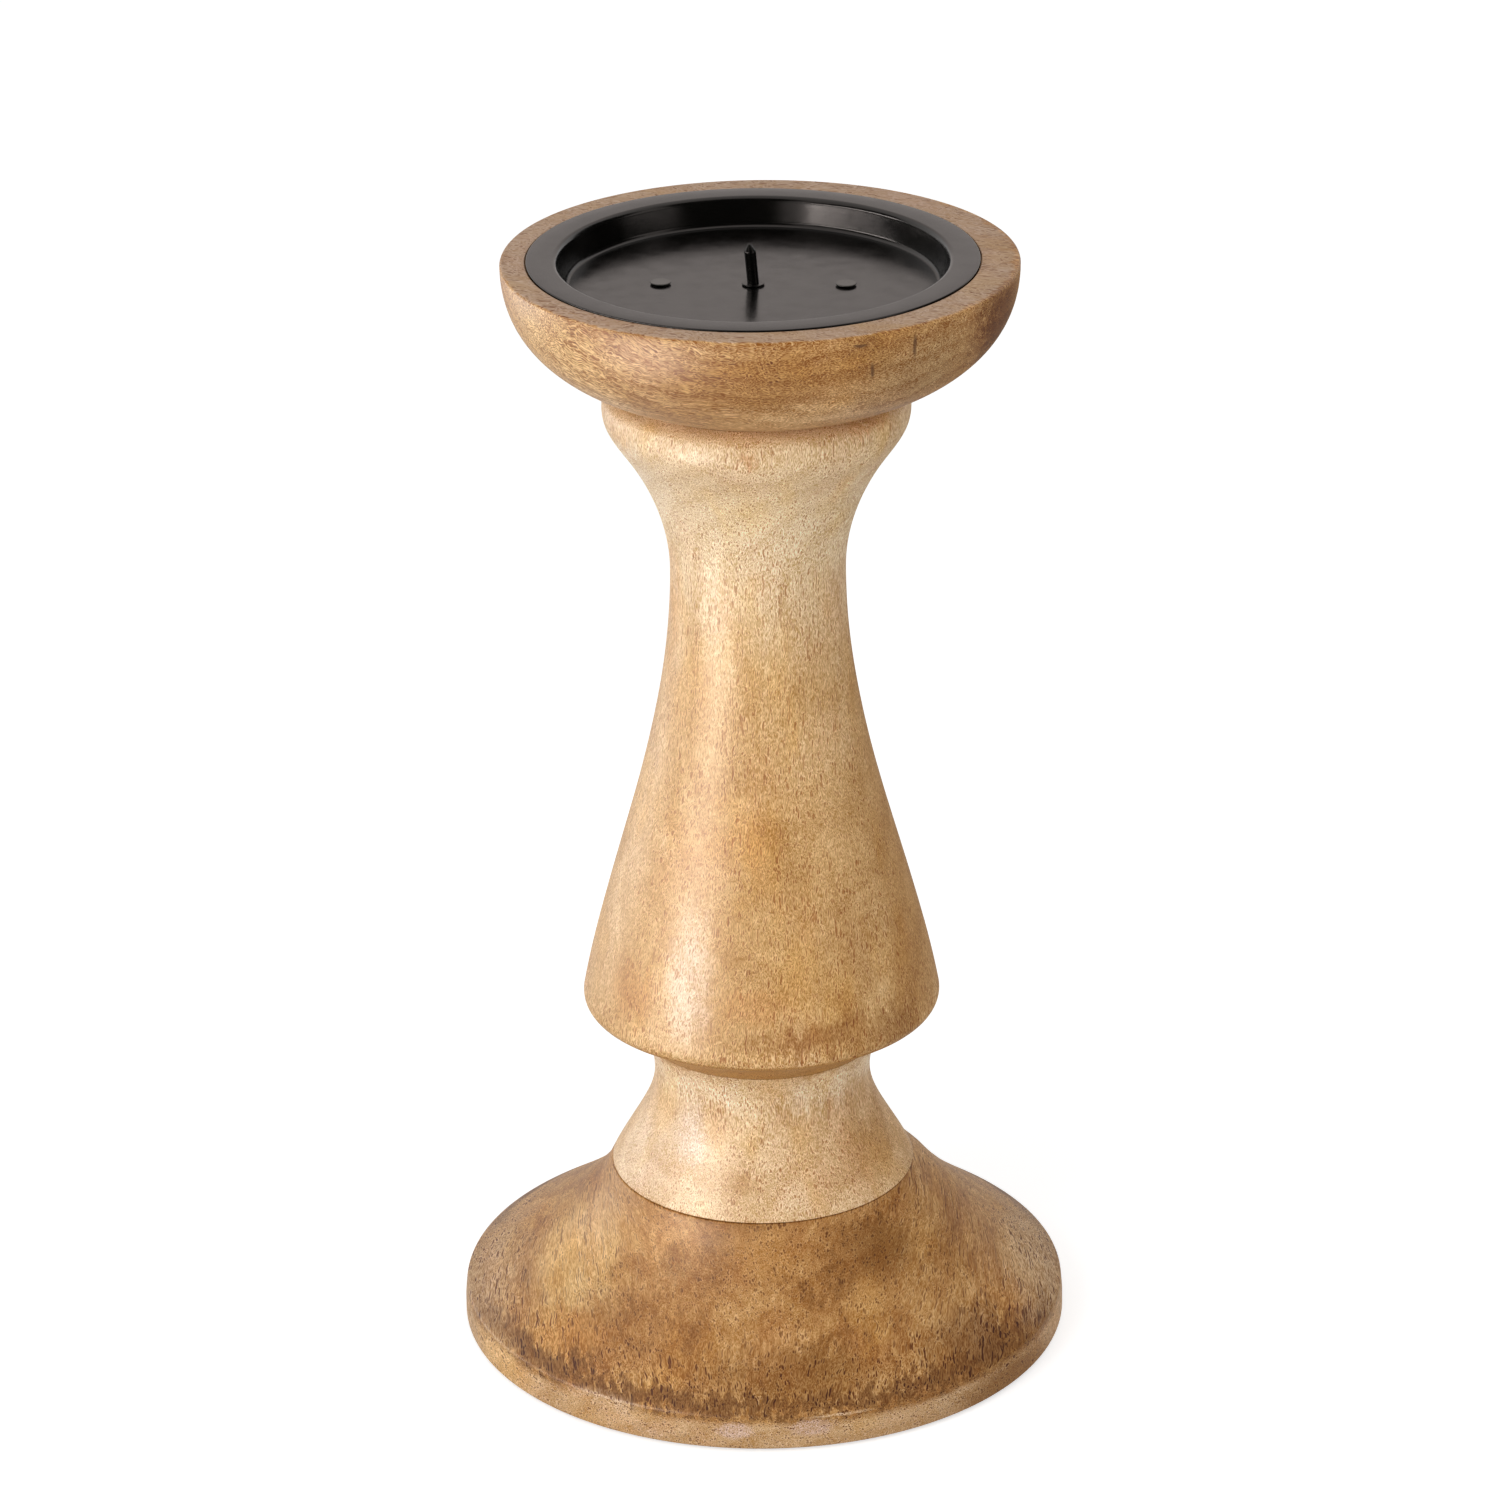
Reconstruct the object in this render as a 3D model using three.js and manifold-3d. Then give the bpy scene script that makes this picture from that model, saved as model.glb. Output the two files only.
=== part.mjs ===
// Candlestick for one pillar candle: four turned pieces of wood, screwed together end to end, with a pressed
// steel plate let into the bowl. Millimetres, +Z up, origin on the table under the axis of the stem.
import * as THREE from 'three';
import { mergeVertices } from 'three/addons/utils/BufferGeometryUtils.js';
import Module from 'manifold-3d';

const wasm = await Module();
wasm.setup();

// Clearances
const SEAT_GAP = 0.3; // between two faces that rest on each other
const FIT_GAP = 0.3; // all round a piece that sits in a hole
const HEAD_ROOM = 0.4; // above the bowl screw's head
const TIP_ROOM = 1.5; // past the tip of a screw or tack
const WASHER_ROOM = 0.6; // all round a washer in its counterbore
const CUT_PAST = 5; // how far a cutting shape runs past the surface that it opens

// Felt pads under the foot
const PAD_COUNT = 4;
const PAD_DIAMETER = 14;
const PAD_THICKNESS = 2;
const PAD_PROUD = 0.8; // how far a pad stands out of the foot
const PAD_INSET = 12; // from the foot's edge to the middle of a pad

// Foot: a straight band, and above it a slope that sweeps up to the neck
const FOOT_DIAMETER = 157.8;
const FOOT_HEIGHT = 43.2;
const FOOT_BAND_HEIGHT = 8.9;
const FOOT_BAND_TAPER = 0.4; // how far the band draws in at its top
const FOOT_EDGE_RADIUS = 0.8;
const FOOT_COUNTERBORE_DEPTH = 14;
const FOOT_SLOPE = { leave: 146.3, arrive: 127.5, pull: [0.615, 0.294], steps: 10 };

// Neck: a hollow curve from the foot's seam to a waist, and out again below the bell
const SEAM_DIAMETER = 78.8;
const NECK_RISE = 26.1; // from the seam to the waist
const NECK_WAIST_DIAMETER = 56;
const NECK_COVE_HEIGHT = 10.4; // from the waist to the bell
const NECK_TOP_DIAMETER = 61.6;
const NECK_SPIGOT_DIAMETER = 24;
const NECK_SPIGOT_LENGTH = 10;
const NECK_SWEEP = { leave: 117.6, arrive: 90, pull: [0.4, 0.306], steps: 7 };
const NECK_COVE = { leave: 90, arrive: 54, pull: [0.34, 0.3], steps: 4 };

// Stem: a bell, a long shaft, and a collar that rolls in under the bowl
const BELL_UNDERCUT = 9.4; // from the neck's top to the lower edge of the lip
const BELL_DIAMETER = 91.9;
const BELL_LIP_HEIGHT = 3.1;
const BELL_LIP_INSET = 1.1; // from the bell's widest line in to the lip's lower edge
const SHAFT_HEIGHT = 116;
const SHAFT_WAIST_DIAMETER = 44.2;
const FLARE_HEIGHT = 31.9;
const FLARE_TOP_DIAMETER = 66.7;
const COLLAR_ROLL_HEIGHT = 11.3;
const COLLAR_DIAMETER = 76.8;
const COLLAR_SHOULDER_HEIGHT = 3.7;
const COLLAR_SHOULDER_INSET = 1.4;
const STEM_FOOT_SPIGOT_LENGTH = 8;
const STEM_BOWL_SPIGOT_LENGTH = 7;
const STEM_SPIGOT_DIAMETER = 22;
const BELL_UNDERSIDE = { leave: 52, arrive: 22, pull: [0.33, 0.33], steps: 4 };
const BELL_LIP = { leave: 40, arrive: 98, pull: [0.35, 0.4], steps: 3 };
const SHAFT_SWEEP = { leave: 100.6, arrive: 90, pull: [0.31, 0.364], steps: 12 };
const FLARE_SWEEP = { leave: 90, arrive: 53.9, pull: [0.355, 0.307], steps: 6 };
const COLLAR_ROLL = { leave: 53.9, arrive: 90, pull: [0.55, 0.32], steps: 4 };
const COLLAR_SHOULDER = { leave: 90, arrive: 150, pull: [0.4, 0.4], steps: 3 };

// Bowl: its width follows from the plate it holds
const BOWL_HEIGHT = 33.7;
const BOWL_UNDERSIDE_DIAMETER = 74.6;
const BOWL_RIM_WIDTH = 7.8;
const BOWL_EDGE_RADIUS = 1.4;
const BOWL_OFF_CENTRE = 1.2; // the bowl was turned a little to the right of the stem
const BOWL_SIDE = { leave: 25, arrive: 90, pull: [0.465, 0.325], steps: 9 };

// Candle plate: a pan pressed in steel sheet, with a flat flange
const PLATE_SHEET = 1;
const PLATE_DEPTH = 7.2;
const PLATE_FLOOR_DIAMETER = 93;
const PLATE_WALL_LEAN = 1.5; // how far the wall leans out from floor to lip
const PLATE_CORNER_RADIUS = 2.2;
const PLATE_LIP_RADIUS = 1.5;
const PLATE_FLANGE_WIDTH = 7.8;
const PLATE_PROUD = 0.3; // how far the flange stands above the wooden rim
const PLATE_OFF_CENTRE = -0.5;
const FLANGE_EDGE_BEVEL = 0.3;
const CANDLE_SEAT_MARGIN = 3; // from the tacks' heads out to the flat ring that a candle rests on

// Candle spike, riveted through the plate
const SPIKE_DIAMETER = 2.9;
const SPIKE_HEIGHT = 10.2;
const SPIKE_POINT_HEIGHT = 1.8;
const SPIKE_TIP_DIAMETER = 0.5;
const SPIKE_LEAN = 5; // degrees, to the left
const SPIKE_COLLAR_DIAMETER = 5.6;
const SPIKE_COLLAR_HEIGHT = 0.5;
const SPIKE_TAIL_DIAMETER = 2.2;
const RIVET_DIAMETER = 4.4;
const RIVET_HEIGHT = 0.7;

// Two tacks that hold the plate down
const TACK_SPACING = 45.6;
const TACK_LINE_ANGLE = -3; // degrees that the line through the tacks is turned
const TACK_HEAD_DIAMETER = 5.2;
const TACK_HEAD_HEIGHT = 0.9;
const TACK_HEAD_BEVEL = 0.3;
const TACK_SHANK_DIAMETER = 1.8;
const TACK_LENGTH = 12;
const TACK_POINT_LENGTH = 2.5;

// Wood screws and their washers
const SCREW_DIAMETER = 6;
const SCREW_CORE_DIAMETER = 4.2;
const SCREW_THREAD_LENGTH = 28;
const SCREW_POINT_LENGTH = 5;
const SCREW_HEAD_DIAMETER = 11.5;
const SCREW_HEAD_HEIGHT = 3.2;
const THREAD_PITCH = 4;
const THREAD_RIDGE_WIDTH = 1.6;
const THREAD_SINK = 0.3; // how far the ridge is sunk into the core
const CROSS_SLOT = { width: 1.5, length: 6, depth: 1.8 };
const FOOT_SCREW_BITE = 40; // how far it goes into the stem
const BOWL_SCREW_BITE = 32;
const WASHER_DIAMETER = 18;
const WASHER_THICKNESS = 1.4;

// Facets round each turned piece, and along each rounded edge
const TURNED_SIDES = 40;
const PAD_SIDES = 24;
const SCREW_SIDES = 12;
const EDGE_STEPS = 3;

const footWood = new THREE.MeshStandardMaterial({ color: '#a8794a', roughness: 0.5 });
const neckWood = new THREE.MeshStandardMaterial({ color: '#d8b589', roughness: 0.5 });
const stemWood = new THREE.MeshStandardMaterial({ color: '#c69d6c', roughness: 0.5 });
const bowlWood = new THREE.MeshStandardMaterial({ color: '#b58a5a', roughness: 0.55 });
const blackSteel = new THREE.MeshStandardMaterial({ color: '#1d1c1b', roughness: 0.4, metalness: 0.3 });
const zincSteel = new THREE.MeshStandardMaterial({ color: '#b4b6b3', roughness: 0.35, metalness: 0.9 });
const brownFelt = new THREE.MeshStandardMaterial({ color: '#4a3a2c', roughness: 0.95 });

// Worked-out sizes
const footRadius = FOOT_DIAMETER / 2;
const seamRadius = SEAM_DIAMETER / 2;
const bellRadius = BELL_DIAMETER / 2;
const collarRadius = COLLAR_DIAMETER / 2;
const screwHoleRadius = SCREW_DIAMETER / 2 + FIT_GAP;
const counterboreRadius = WASHER_DIAMETER / 2 + WASHER_ROOM;
const floorRadius = PLATE_FLOOR_DIAMETER / 2;
const lipRadius = floorRadius + PLATE_WALL_LEAN;
const flangeRadius = lipRadius + PLATE_FLANGE_WIDTH;
const rebateRadius = flangeRadius + FIT_GAP;
const bowlRadius = rebateRadius + BOWL_RIM_WIDTH;

// Levels, from the table up
const neckLevel = PAD_PROUD + FOOT_HEIGHT + SEAT_GAP;
const neckHeight = NECK_RISE + NECK_COVE_HEIGHT;
const stemLevel = neckLevel + neckHeight + SEAT_GAP;
const shaftLevel = BELL_UNDERCUT + BELL_LIP_HEIGHT;
const waistLevel = shaftLevel + SHAFT_HEIGHT;
const flareLevel = waistLevel + FLARE_HEIGHT;
const rollLevel = flareLevel + COLLAR_ROLL_HEIGHT;
const stemHeight = rollLevel + COLLAR_SHOULDER_HEIGHT;
const bowlLevel = stemLevel + stemHeight + SEAT_GAP;
const plateLevel = bowlLevel + BOWL_HEIGHT + PLATE_PROUD;

// The bowl screw sits in a counterbore just deep enough for it, its washer and the spike's rivet
const cavityDepth = PLATE_DEPTH + PLATE_SHEET + SEAT_GAP - PLATE_PROUD;
const headTop = PLATE_DEPTH + PLATE_SHEET + SEAT_GAP + RIVET_HEIGHT + HEAD_ROOM;
const bowlScrewLevel = plateLevel - headTop - SCREW_HEAD_HEIGHT;
const bowlWasherLevel = bowlScrewLevel - SEAT_GAP - WASHER_THICKNESS;
const bowlWasherSeat = bowlWasherLevel - SEAT_GAP - bowlLevel;
const bowlScrewLength = bowlScrewLevel - (bowlLevel - SEAT_GAP + STEM_BOWL_SPIGOT_LENGTH) + BOWL_SCREW_BITE;

// The foot screw comes up through the foot and the neck into the stem
const footWasherLevel = PAD_PROUD + FOOT_COUNTERBORE_DEPTH - SEAT_GAP - WASHER_THICKNESS;
const footScrewLevel = footWasherLevel - SEAT_GAP;
const footScrewLength = stemLevel - STEM_FOOT_SPIGOT_LENGTH + FOOT_SCREW_BITE - footScrewLevel;

const at = (radius, height) => new THREE.Vector2(radius, height);

function direction(degrees) {
  const angle = THREE.MathUtils.degToRad(degrees);
  return at(Math.cos(angle), Math.sin(angle));
}

// A smooth outline between two points. It leaves and arrives at the given angles, in degrees from the radius
// axis, and each pull says how far an end holds its angle, as a share of the straight distance.
function sweep(from, to, { leave, arrive, pull, steps }) {
  const reach = from.distanceTo(to);
  const first = from.clone().addScaledVector(direction(leave), reach * pull[0]);
  const second = to.clone().addScaledVector(direction(arrive), -reach * pull[1]);
  return new THREE.CubicBezierCurve(from, first, second, to).getPoints(steps);
}

// Points on an arc, from one angle to another in degrees
function arc(centre, radius, start, end) {
  const points = [];
  for (let i = 0; i <= EDGE_STEPS; i++) {
    const angle = THREE.MathUtils.lerp(start, end, i / EDGE_STEPS);
    points.push(centre.clone().addScaledVector(direction(angle), radius));
  }
  return points;
}

// Merges the shared vertices of a geometry and drops the faces that this closes up
function welded(geometry) {
  geometry.deleteAttribute('normal');
  geometry.deleteAttribute('uv');
  const merged = mergeVertices(geometry, 1e-4);
  const corners = merged.index.array;
  const kept = [];
  for (let i = 0; i < corners.length; i += 3) {
    const [a, b, c] = corners.subarray(i, i + 3);
    if (a !== b && b !== c && c !== a) kept.push(a, b, c);
  }
  merged.setIndex(kept);
  return merged;
}

// Turns an outline of (radius, height) points about the Z axis
function turned(outline, sides = TURNED_SIDES) {
  return welded(new THREE.LatheGeometry(outline, sides).rotateX(Math.PI / 2));
}

function cylinder(radius, bottom, top, sides) {
  return turned([at(0, bottom), at(radius, bottom), at(radius, top), at(0, top)], sides);
}

// Each triangle has a number of its own, so that a cut leaves the edges between flat faces where they are
function solid(geometry) {
  const vertProperties = new Float32Array(geometry.attributes.position.array);
  const triVerts = new Uint32Array(geometry.index.array);
  const faceID = Uint32Array.from({ length: triVerts.length / 3 }, (_, i) => i);
  return new wasm.Manifold(new wasm.Mesh({ numProp: 3, vertProperties, triVerts, faceID }));
}

function geometryOf(body) {
  const mesh = body.getMesh();
  const geometry = new THREE.BufferGeometry();
  geometry.setAttribute('position', new THREE.BufferAttribute(mesh.vertProperties, 3));
  geometry.setIndex(new THREE.BufferAttribute(mesh.triVerts, 1));
  return geometry;
}

function cut(body, tools) {
  return geometryOf(tools.reduce((rest, tool) => rest.subtract(solid(tool)), solid(body)));
}

// Places of the pads, on a circle inside the foot's edge
function padPlaces() {
  const places = [];
  for (let i = 0; i < PAD_COUNT; i++) {
    places.push(direction((360 / PAD_COUNT) * (i + 0.5)).multiplyScalar(footRadius - PAD_INSET));
  }
  return places;
}

function padGeometry() {
  return cylinder(PAD_DIAMETER / 2, 0, PAD_THICKNESS, PAD_SIDES);
}

// Foot, standing on its own underside, with a socket for the neck and a counterbored hole for the screw
function footGeometry() {
  const bandTop = at(footRadius - FOOT_BAND_TAPER, FOOT_BAND_HEIGHT);
  const edgeCentre = at(footRadius - FOOT_EDGE_RADIUS, FOOT_EDGE_RADIUS);
  const socketRadius = NECK_SPIGOT_DIAMETER / 2 + FIT_GAP;
  const socketFloor = FOOT_HEIGHT - NECK_SPIGOT_LENGTH;
  const outline = [
    at(counterboreRadius, 0),
    ...arc(edgeCentre, FOOT_EDGE_RADIUS, -90, 0),
    at(footRadius, FOOT_BAND_HEIGHT / 2),
    ...sweep(bandTop, at(seamRadius, FOOT_HEIGHT), FOOT_SLOPE),
    at(socketRadius, FOOT_HEIGHT),
    at(socketRadius, socketFloor),
    at(screwHoleRadius, socketFloor),
    at(screwHoleRadius, FOOT_COUNTERBORE_DEPTH),
    at(counterboreRadius, FOOT_COUNTERBORE_DEPTH),
    at(counterboreRadius, 0),
  ];
  const recessTop = PAD_THICKNESS - PAD_PROUD + SEAT_GAP;
  const recesses = padPlaces().map((place) =>
    cylinder(PAD_DIAMETER / 2 + FIT_GAP, -CUT_PAST, recessTop, PAD_SIDES).translate(place.x, place.y, 0),
  );
  return cut(turned(outline), recesses);
}

// Neck, from its lower shoulder up, with a spigot below, a socket above and the screw's hole right through
function neckGeometry() {
  const waist = at(NECK_WAIST_DIAMETER / 2, NECK_RISE);
  const top = at(NECK_TOP_DIAMETER / 2, neckHeight);
  const spigotRadius = NECK_SPIGOT_DIAMETER / 2;
  const socketRadius = STEM_SPIGOT_DIAMETER / 2 + FIT_GAP;
  const socketFloor = neckHeight - STEM_FOOT_SPIGOT_LENGTH;
  return turned([
    at(screwHoleRadius, -NECK_SPIGOT_LENGTH),
    at(spigotRadius, -NECK_SPIGOT_LENGTH),
    at(spigotRadius, 0),
    ...sweep(at(seamRadius, 0), waist, NECK_SWEEP),
    ...sweep(waist, top, NECK_COVE).slice(1),
    at(socketRadius, neckHeight),
    at(socketRadius, socketFloor),
    at(screwHoleRadius, socketFloor),
    at(screwHoleRadius, -NECK_SPIGOT_LENGTH),
  ]);
}

// Stem, from its lower shoulder up, with a spigot and a blind screw hole at each end
function stemGeometry() {
  const lipEdge = at(bellRadius - BELL_LIP_INSET, BELL_UNDERCUT);
  const bell = at(bellRadius, shaftLevel);
  const waist = at(SHAFT_WAIST_DIAMETER / 2, waistLevel);
  const flareTop = at(FLARE_TOP_DIAMETER / 2, flareLevel);
  const roll = at(collarRadius, rollLevel);
  const spigotRadius = STEM_SPIGOT_DIAMETER / 2;
  const spigotTop = stemHeight + STEM_BOWL_SPIGOT_LENGTH;
  const lowerHoleEnd = FOOT_SCREW_BITE + TIP_ROOM - STEM_FOOT_SPIGOT_LENGTH;
  const upperHoleEnd = spigotTop - BOWL_SCREW_BITE - TIP_ROOM;
  return turned([
    at(0, lowerHoleEnd),
    at(screwHoleRadius, lowerHoleEnd),
    at(screwHoleRadius, -STEM_FOOT_SPIGOT_LENGTH),
    at(spigotRadius, -STEM_FOOT_SPIGOT_LENGTH),
    at(spigotRadius, 0),
    ...sweep(at(NECK_TOP_DIAMETER / 2, 0), lipEdge, BELL_UNDERSIDE),
    ...sweep(lipEdge, bell, BELL_LIP).slice(1),
    ...sweep(bell, waist, SHAFT_SWEEP).slice(1),
    ...sweep(waist, flareTop, FLARE_SWEEP).slice(1),
    ...sweep(flareTop, roll, COLLAR_ROLL).slice(1),
    ...sweep(roll, at(collarRadius - COLLAR_SHOULDER_INSET, stemHeight), COLLAR_SHOULDER).slice(1),
    at(spigotRadius, stemHeight),
    at(spigotRadius, spigotTop),
    at(screwHoleRadius, spigotTop),
    at(screwHoleRadius, upperHoleEnd),
    at(0, upperHoleEnd),
  ]);
}

// Places of the two tacks about the middle of the plate, left one first
function tackPlaces() {
  return [180, 0].map((side) => direction(side + TACK_LINE_ANGLE).multiplyScalar(TACK_SPACING / 2));
}

// Bowl, standing on its own underside: cut for the plate and its tacks, the screw and the stem's spigot
function bowlGeometry() {
  const edgeCentre = at(bowlRadius - BOWL_EDGE_RADIUS, BOWL_HEIGHT - BOWL_EDGE_RADIUS);
  const side = at(bowlRadius, BOWL_HEIGHT - BOWL_EDGE_RADIUS);
  const outside = turned([
    at(0, 0),
    ...sweep(at(BOWL_UNDERSIDE_DIAMETER / 2, 0), side, BOWL_SIDE),
    ...arc(edgeCentre, BOWL_EDGE_RADIUS, 0, 90).slice(1),
    at(0, BOWL_HEIGHT),
  ]).translate(BOWL_OFF_CENTRE, 0, 0);
  const rebateFloor = BOWL_HEIGHT + PLATE_PROUD - PLATE_SHEET - SEAT_GAP;
  const panHoleRadius = lipRadius + PLATE_LIP_RADIUS;
  const cavityFloor = BOWL_HEIGHT - cavityDepth;
  const above = BOWL_HEIGHT + CUT_PAST;
  const cavity = turned([
    at(0, cavityFloor),
    at(panHoleRadius, cavityFloor),
    at(panHoleRadius, rebateFloor),
    at(rebateRadius, rebateFloor),
    at(rebateRadius, above),
    at(0, above),
  ]).translate(PLATE_OFF_CENTRE, 0, 0);
  const socketRadius = STEM_SPIGOT_DIAMETER / 2 + FIT_GAP;
  const screwHole = turned([
    at(0, -CUT_PAST),
    at(socketRadius, -CUT_PAST),
    at(socketRadius, STEM_BOWL_SPIGOT_LENGTH),
    at(screwHoleRadius, STEM_BOWL_SPIGOT_LENGTH),
    at(screwHoleRadius, bowlWasherSeat),
    at(counterboreRadius, bowlWasherSeat),
    at(counterboreRadius, above),
    at(0, above),
  ]);
  const tackTip = BOWL_HEIGHT + PLATE_PROUD - PLATE_DEPTH + SEAT_GAP - TACK_LENGTH - TIP_ROOM;
  const tackHoles = tackPlaces().map((place) =>
    cylinder(TACK_SHANK_DIAMETER / 2 + FIT_GAP, tackTip, above, SCREW_SIDES).translate(
      PLATE_OFF_CENTRE + place.x,
      place.y,
      0,
    ),
  );
  return cut(outside, [cavity, screwHole, ...tackHoles]);
}

// Plate, hanging from the top of its flange, with holes for the spike's tail and the tacks. An edge round the
// middle of the floor leaves a flat ring outside it, clear of the spike and the tacks.
function plateGeometry() {
  const seatRadius = TACK_SPACING / 2 + TACK_HEAD_DIAMETER / 2 + CANDLE_SEAT_MARGIN;
  const cornerCentre = at(floorRadius - PLATE_CORNER_RADIUS, PLATE_CORNER_RADIUS - PLATE_DEPTH);
  const lipCentre = at(lipRadius + PLATE_LIP_RADIUS, -PLATE_LIP_RADIUS);
  const pan = turned([
    at(0, -PLATE_DEPTH - PLATE_SHEET),
    ...arc(cornerCentre, PLATE_CORNER_RADIUS + PLATE_SHEET, -90, 0),
    ...arc(lipCentre, PLATE_LIP_RADIUS - PLATE_SHEET, 180, 90),
    at(flangeRadius, -PLATE_SHEET),
    at(flangeRadius, -FLANGE_EDGE_BEVEL),
    at(flangeRadius - FLANGE_EDGE_BEVEL, 0),
    ...arc(lipCentre, PLATE_LIP_RADIUS, 90, 180),
    ...arc(cornerCentre, PLATE_CORNER_RADIUS, 0, -90),
    at(seatRadius, -PLATE_DEPTH),
    at(0, -PLATE_DEPTH),
  ]);
  const below = -PLATE_DEPTH - PLATE_SHEET - CUT_PAST;
  const spikeHole = cylinder(SPIKE_TAIL_DIAMETER / 2 + FIT_GAP, below, 0, SCREW_SIDES);
  const tackHoles = tackPlaces().map((place) =>
    cylinder(TACK_SHANK_DIAMETER / 2 + FIT_GAP, below, 0, SCREW_SIDES).translate(place.x, place.y, 0),
  );
  return cut(pan, [spikeHole, ...tackHoles]);
}

// Spike, standing on the plate's floor: a leaning point on an upright collar, and a riveted tail below
function spikeGeometry() {
  const rivetTop = -PLATE_SHEET - 2 * SEAT_GAP;
  const radius = SPIKE_DIAMETER / 2;
  const tail = turned(
    [
      at(0, rivetTop - RIVET_HEIGHT),
      at(RIVET_DIAMETER / 2, rivetTop - RIVET_HEIGHT / 2),
      at(RIVET_DIAMETER / 2, rivetTop),
      at(SPIKE_TAIL_DIAMETER / 2, rivetTop),
      at(SPIKE_TAIL_DIAMETER / 2, 0),
      at(SPIKE_COLLAR_DIAMETER / 2, 0),
      at(radius, SPIKE_COLLAR_HEIGHT),
      at(0, SPIKE_COLLAR_HEIGHT),
    ],
    PAD_SIDES,
  );
  const point = turned(
    [
      at(0, SPIKE_COLLAR_HEIGHT / 2),
      at(radius, SPIKE_COLLAR_HEIGHT / 2),
      at(radius, SPIKE_HEIGHT - SPIKE_POINT_HEIGHT),
      at(SPIKE_TIP_DIAMETER / 2, SPIKE_HEIGHT),
      at(0, SPIKE_HEIGHT),
    ],
    PAD_SIDES,
  ).rotateY(THREE.MathUtils.degToRad(-SPIKE_LEAN));
  return geometryOf(solid(tail).add(solid(point)));
}

// Tack, from the underside of its head
function tackGeometry() {
  const shankRadius = TACK_SHANK_DIAMETER / 2;
  const headRadius = TACK_HEAD_DIAMETER / 2;
  return turned(
    [
      at(0, -TACK_LENGTH),
      at(shankRadius, TACK_POINT_LENGTH - TACK_LENGTH),
      at(shankRadius, 0),
      at(headRadius, 0),
      at(headRadius, TACK_HEAD_HEIGHT - TACK_HEAD_BEVEL),
      at(headRadius - TACK_HEAD_BEVEL, TACK_HEAD_HEIGHT),
      at(0, TACK_HEAD_HEIGHT),
    ],
    PAD_SIDES,
  );
}

// The ridge of a screw thread: a triangle carried round a helix, sunk a little into the core
function threadRidge(bottom, length) {
  const steps = Math.round((SCREW_SIDES * length) / THREAD_PITCH);
  const rootRadius = SCREW_CORE_DIAMETER / 2 - THREAD_SINK;
  const depth = SCREW_DIAMETER / 2 - rootRadius;
  const positions = [];
  const corners = [];
  for (let i = 0; i <= steps; i++) {
    const angle = (i / SCREW_SIDES) * 2 * Math.PI;
    const height = bottom + (length * i) / steps;
    const fade = Math.min(1, (i + 1) / SCREW_SIDES, (steps - i + 1) / SCREW_SIDES);
    const section = [
      at(rootRadius, height - THREAD_RIDGE_WIDTH / 2),
      at(rootRadius + depth * fade, height),
      at(rootRadius, height + THREAD_RIDGE_WIDTH / 2),
    ];
    section.forEach(({ x, y }) => positions.push(x * Math.cos(angle), x * Math.sin(angle), y));
  }
  for (let i = 0; i < steps; i++) {
    for (let k = 0; k < 3; k++) {
      const [a, b] = [3 * i + k, 3 * i + ((k + 1) % 3)];
      corners.push(a, a + 3, b, b, a + 3, b + 3);
    }
  }
  corners.push(0, 1, 2, 3 * steps + 2, 3 * steps + 1, 3 * steps);
  const ridge = new THREE.BufferGeometry();
  ridge.setAttribute('position', new THREE.Float32BufferAttribute(positions, 3));
  ridge.setIndex(corners);
  return ridge;
}

// Wood screw, from the underside of its round head, pointing down
function screwGeometry(length) {
  const coreRadius = SCREW_CORE_DIAMETER / 2;
  const headRadius = SCREW_HEAD_DIAMETER / 2;
  const threadBottom = SCREW_POINT_LENGTH - length;
  const dome = new THREE.EllipseCurve(0, 0, headRadius, SCREW_HEAD_HEIGHT, 0, Math.PI / 2);
  const blank = turned(
    [
      at(0, -length),
      at(coreRadius, threadBottom),
      at(coreRadius, 0),
      ...dome.getPoints(EDGE_STEPS).slice(0, -1),
      at(0, SCREW_HEAD_HEIGHT),
    ],
    SCREW_SIDES,
  );
  const slots = [0, Math.PI / 2].map((angle) =>
    welded(new THREE.BoxGeometry(CROSS_SLOT.length, CROSS_SLOT.width, 2 * CROSS_SLOT.depth))
      .rotateZ(angle)
      .translate(0, 0, SCREW_HEAD_HEIGHT),
  );
  const threaded = solid(blank).add(solid(threadRidge(threadBottom, SCREW_THREAD_LENGTH)));
  return cut(geometryOf(threaded), slots);
}

function washerGeometry() {
  const outline = [
    at(screwHoleRadius, 0),
    at(WASHER_DIAMETER / 2, 0),
    at(WASHER_DIAMETER / 2, WASHER_THICKNESS),
    at(screwHoleRadius, WASHER_THICKNESS),
    at(screwHoleRadius, 0),
  ];
  return turned(outline, PAD_SIDES);
}

function piece(name, geometry, material, x = 0, y = 0, z = 0) {
  const mesh = new THREE.Mesh(geometry, material);
  mesh.name = name;
  mesh.position.set(x, y, z);
  return mesh;
}

const candlestick = new THREE.Group();

padPlaces().forEach((place, i) => {
  candlestick.add(piece(`foot_pad_${i + 1}`, padGeometry(), brownFelt, place.x, place.y));
});

candlestick.add(
  piece('foot', footGeometry(), footWood, 0, 0, PAD_PROUD),
  piece('neck', neckGeometry(), neckWood, 0, 0, neckLevel),
  piece('stem', stemGeometry(), stemWood, 0, 0, stemLevel),
  piece('bowl', bowlGeometry(), bowlWood, 0, 0, bowlLevel),
  piece('foot_washer', washerGeometry(), zincSteel, 0, 0, footWasherLevel),
  piece('bowl_washer', washerGeometry(), zincSteel, 0, 0, bowlWasherLevel),
  piece('bowl_screw', screwGeometry(bowlScrewLength), zincSteel, 0, 0, bowlScrewLevel),
);

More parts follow.
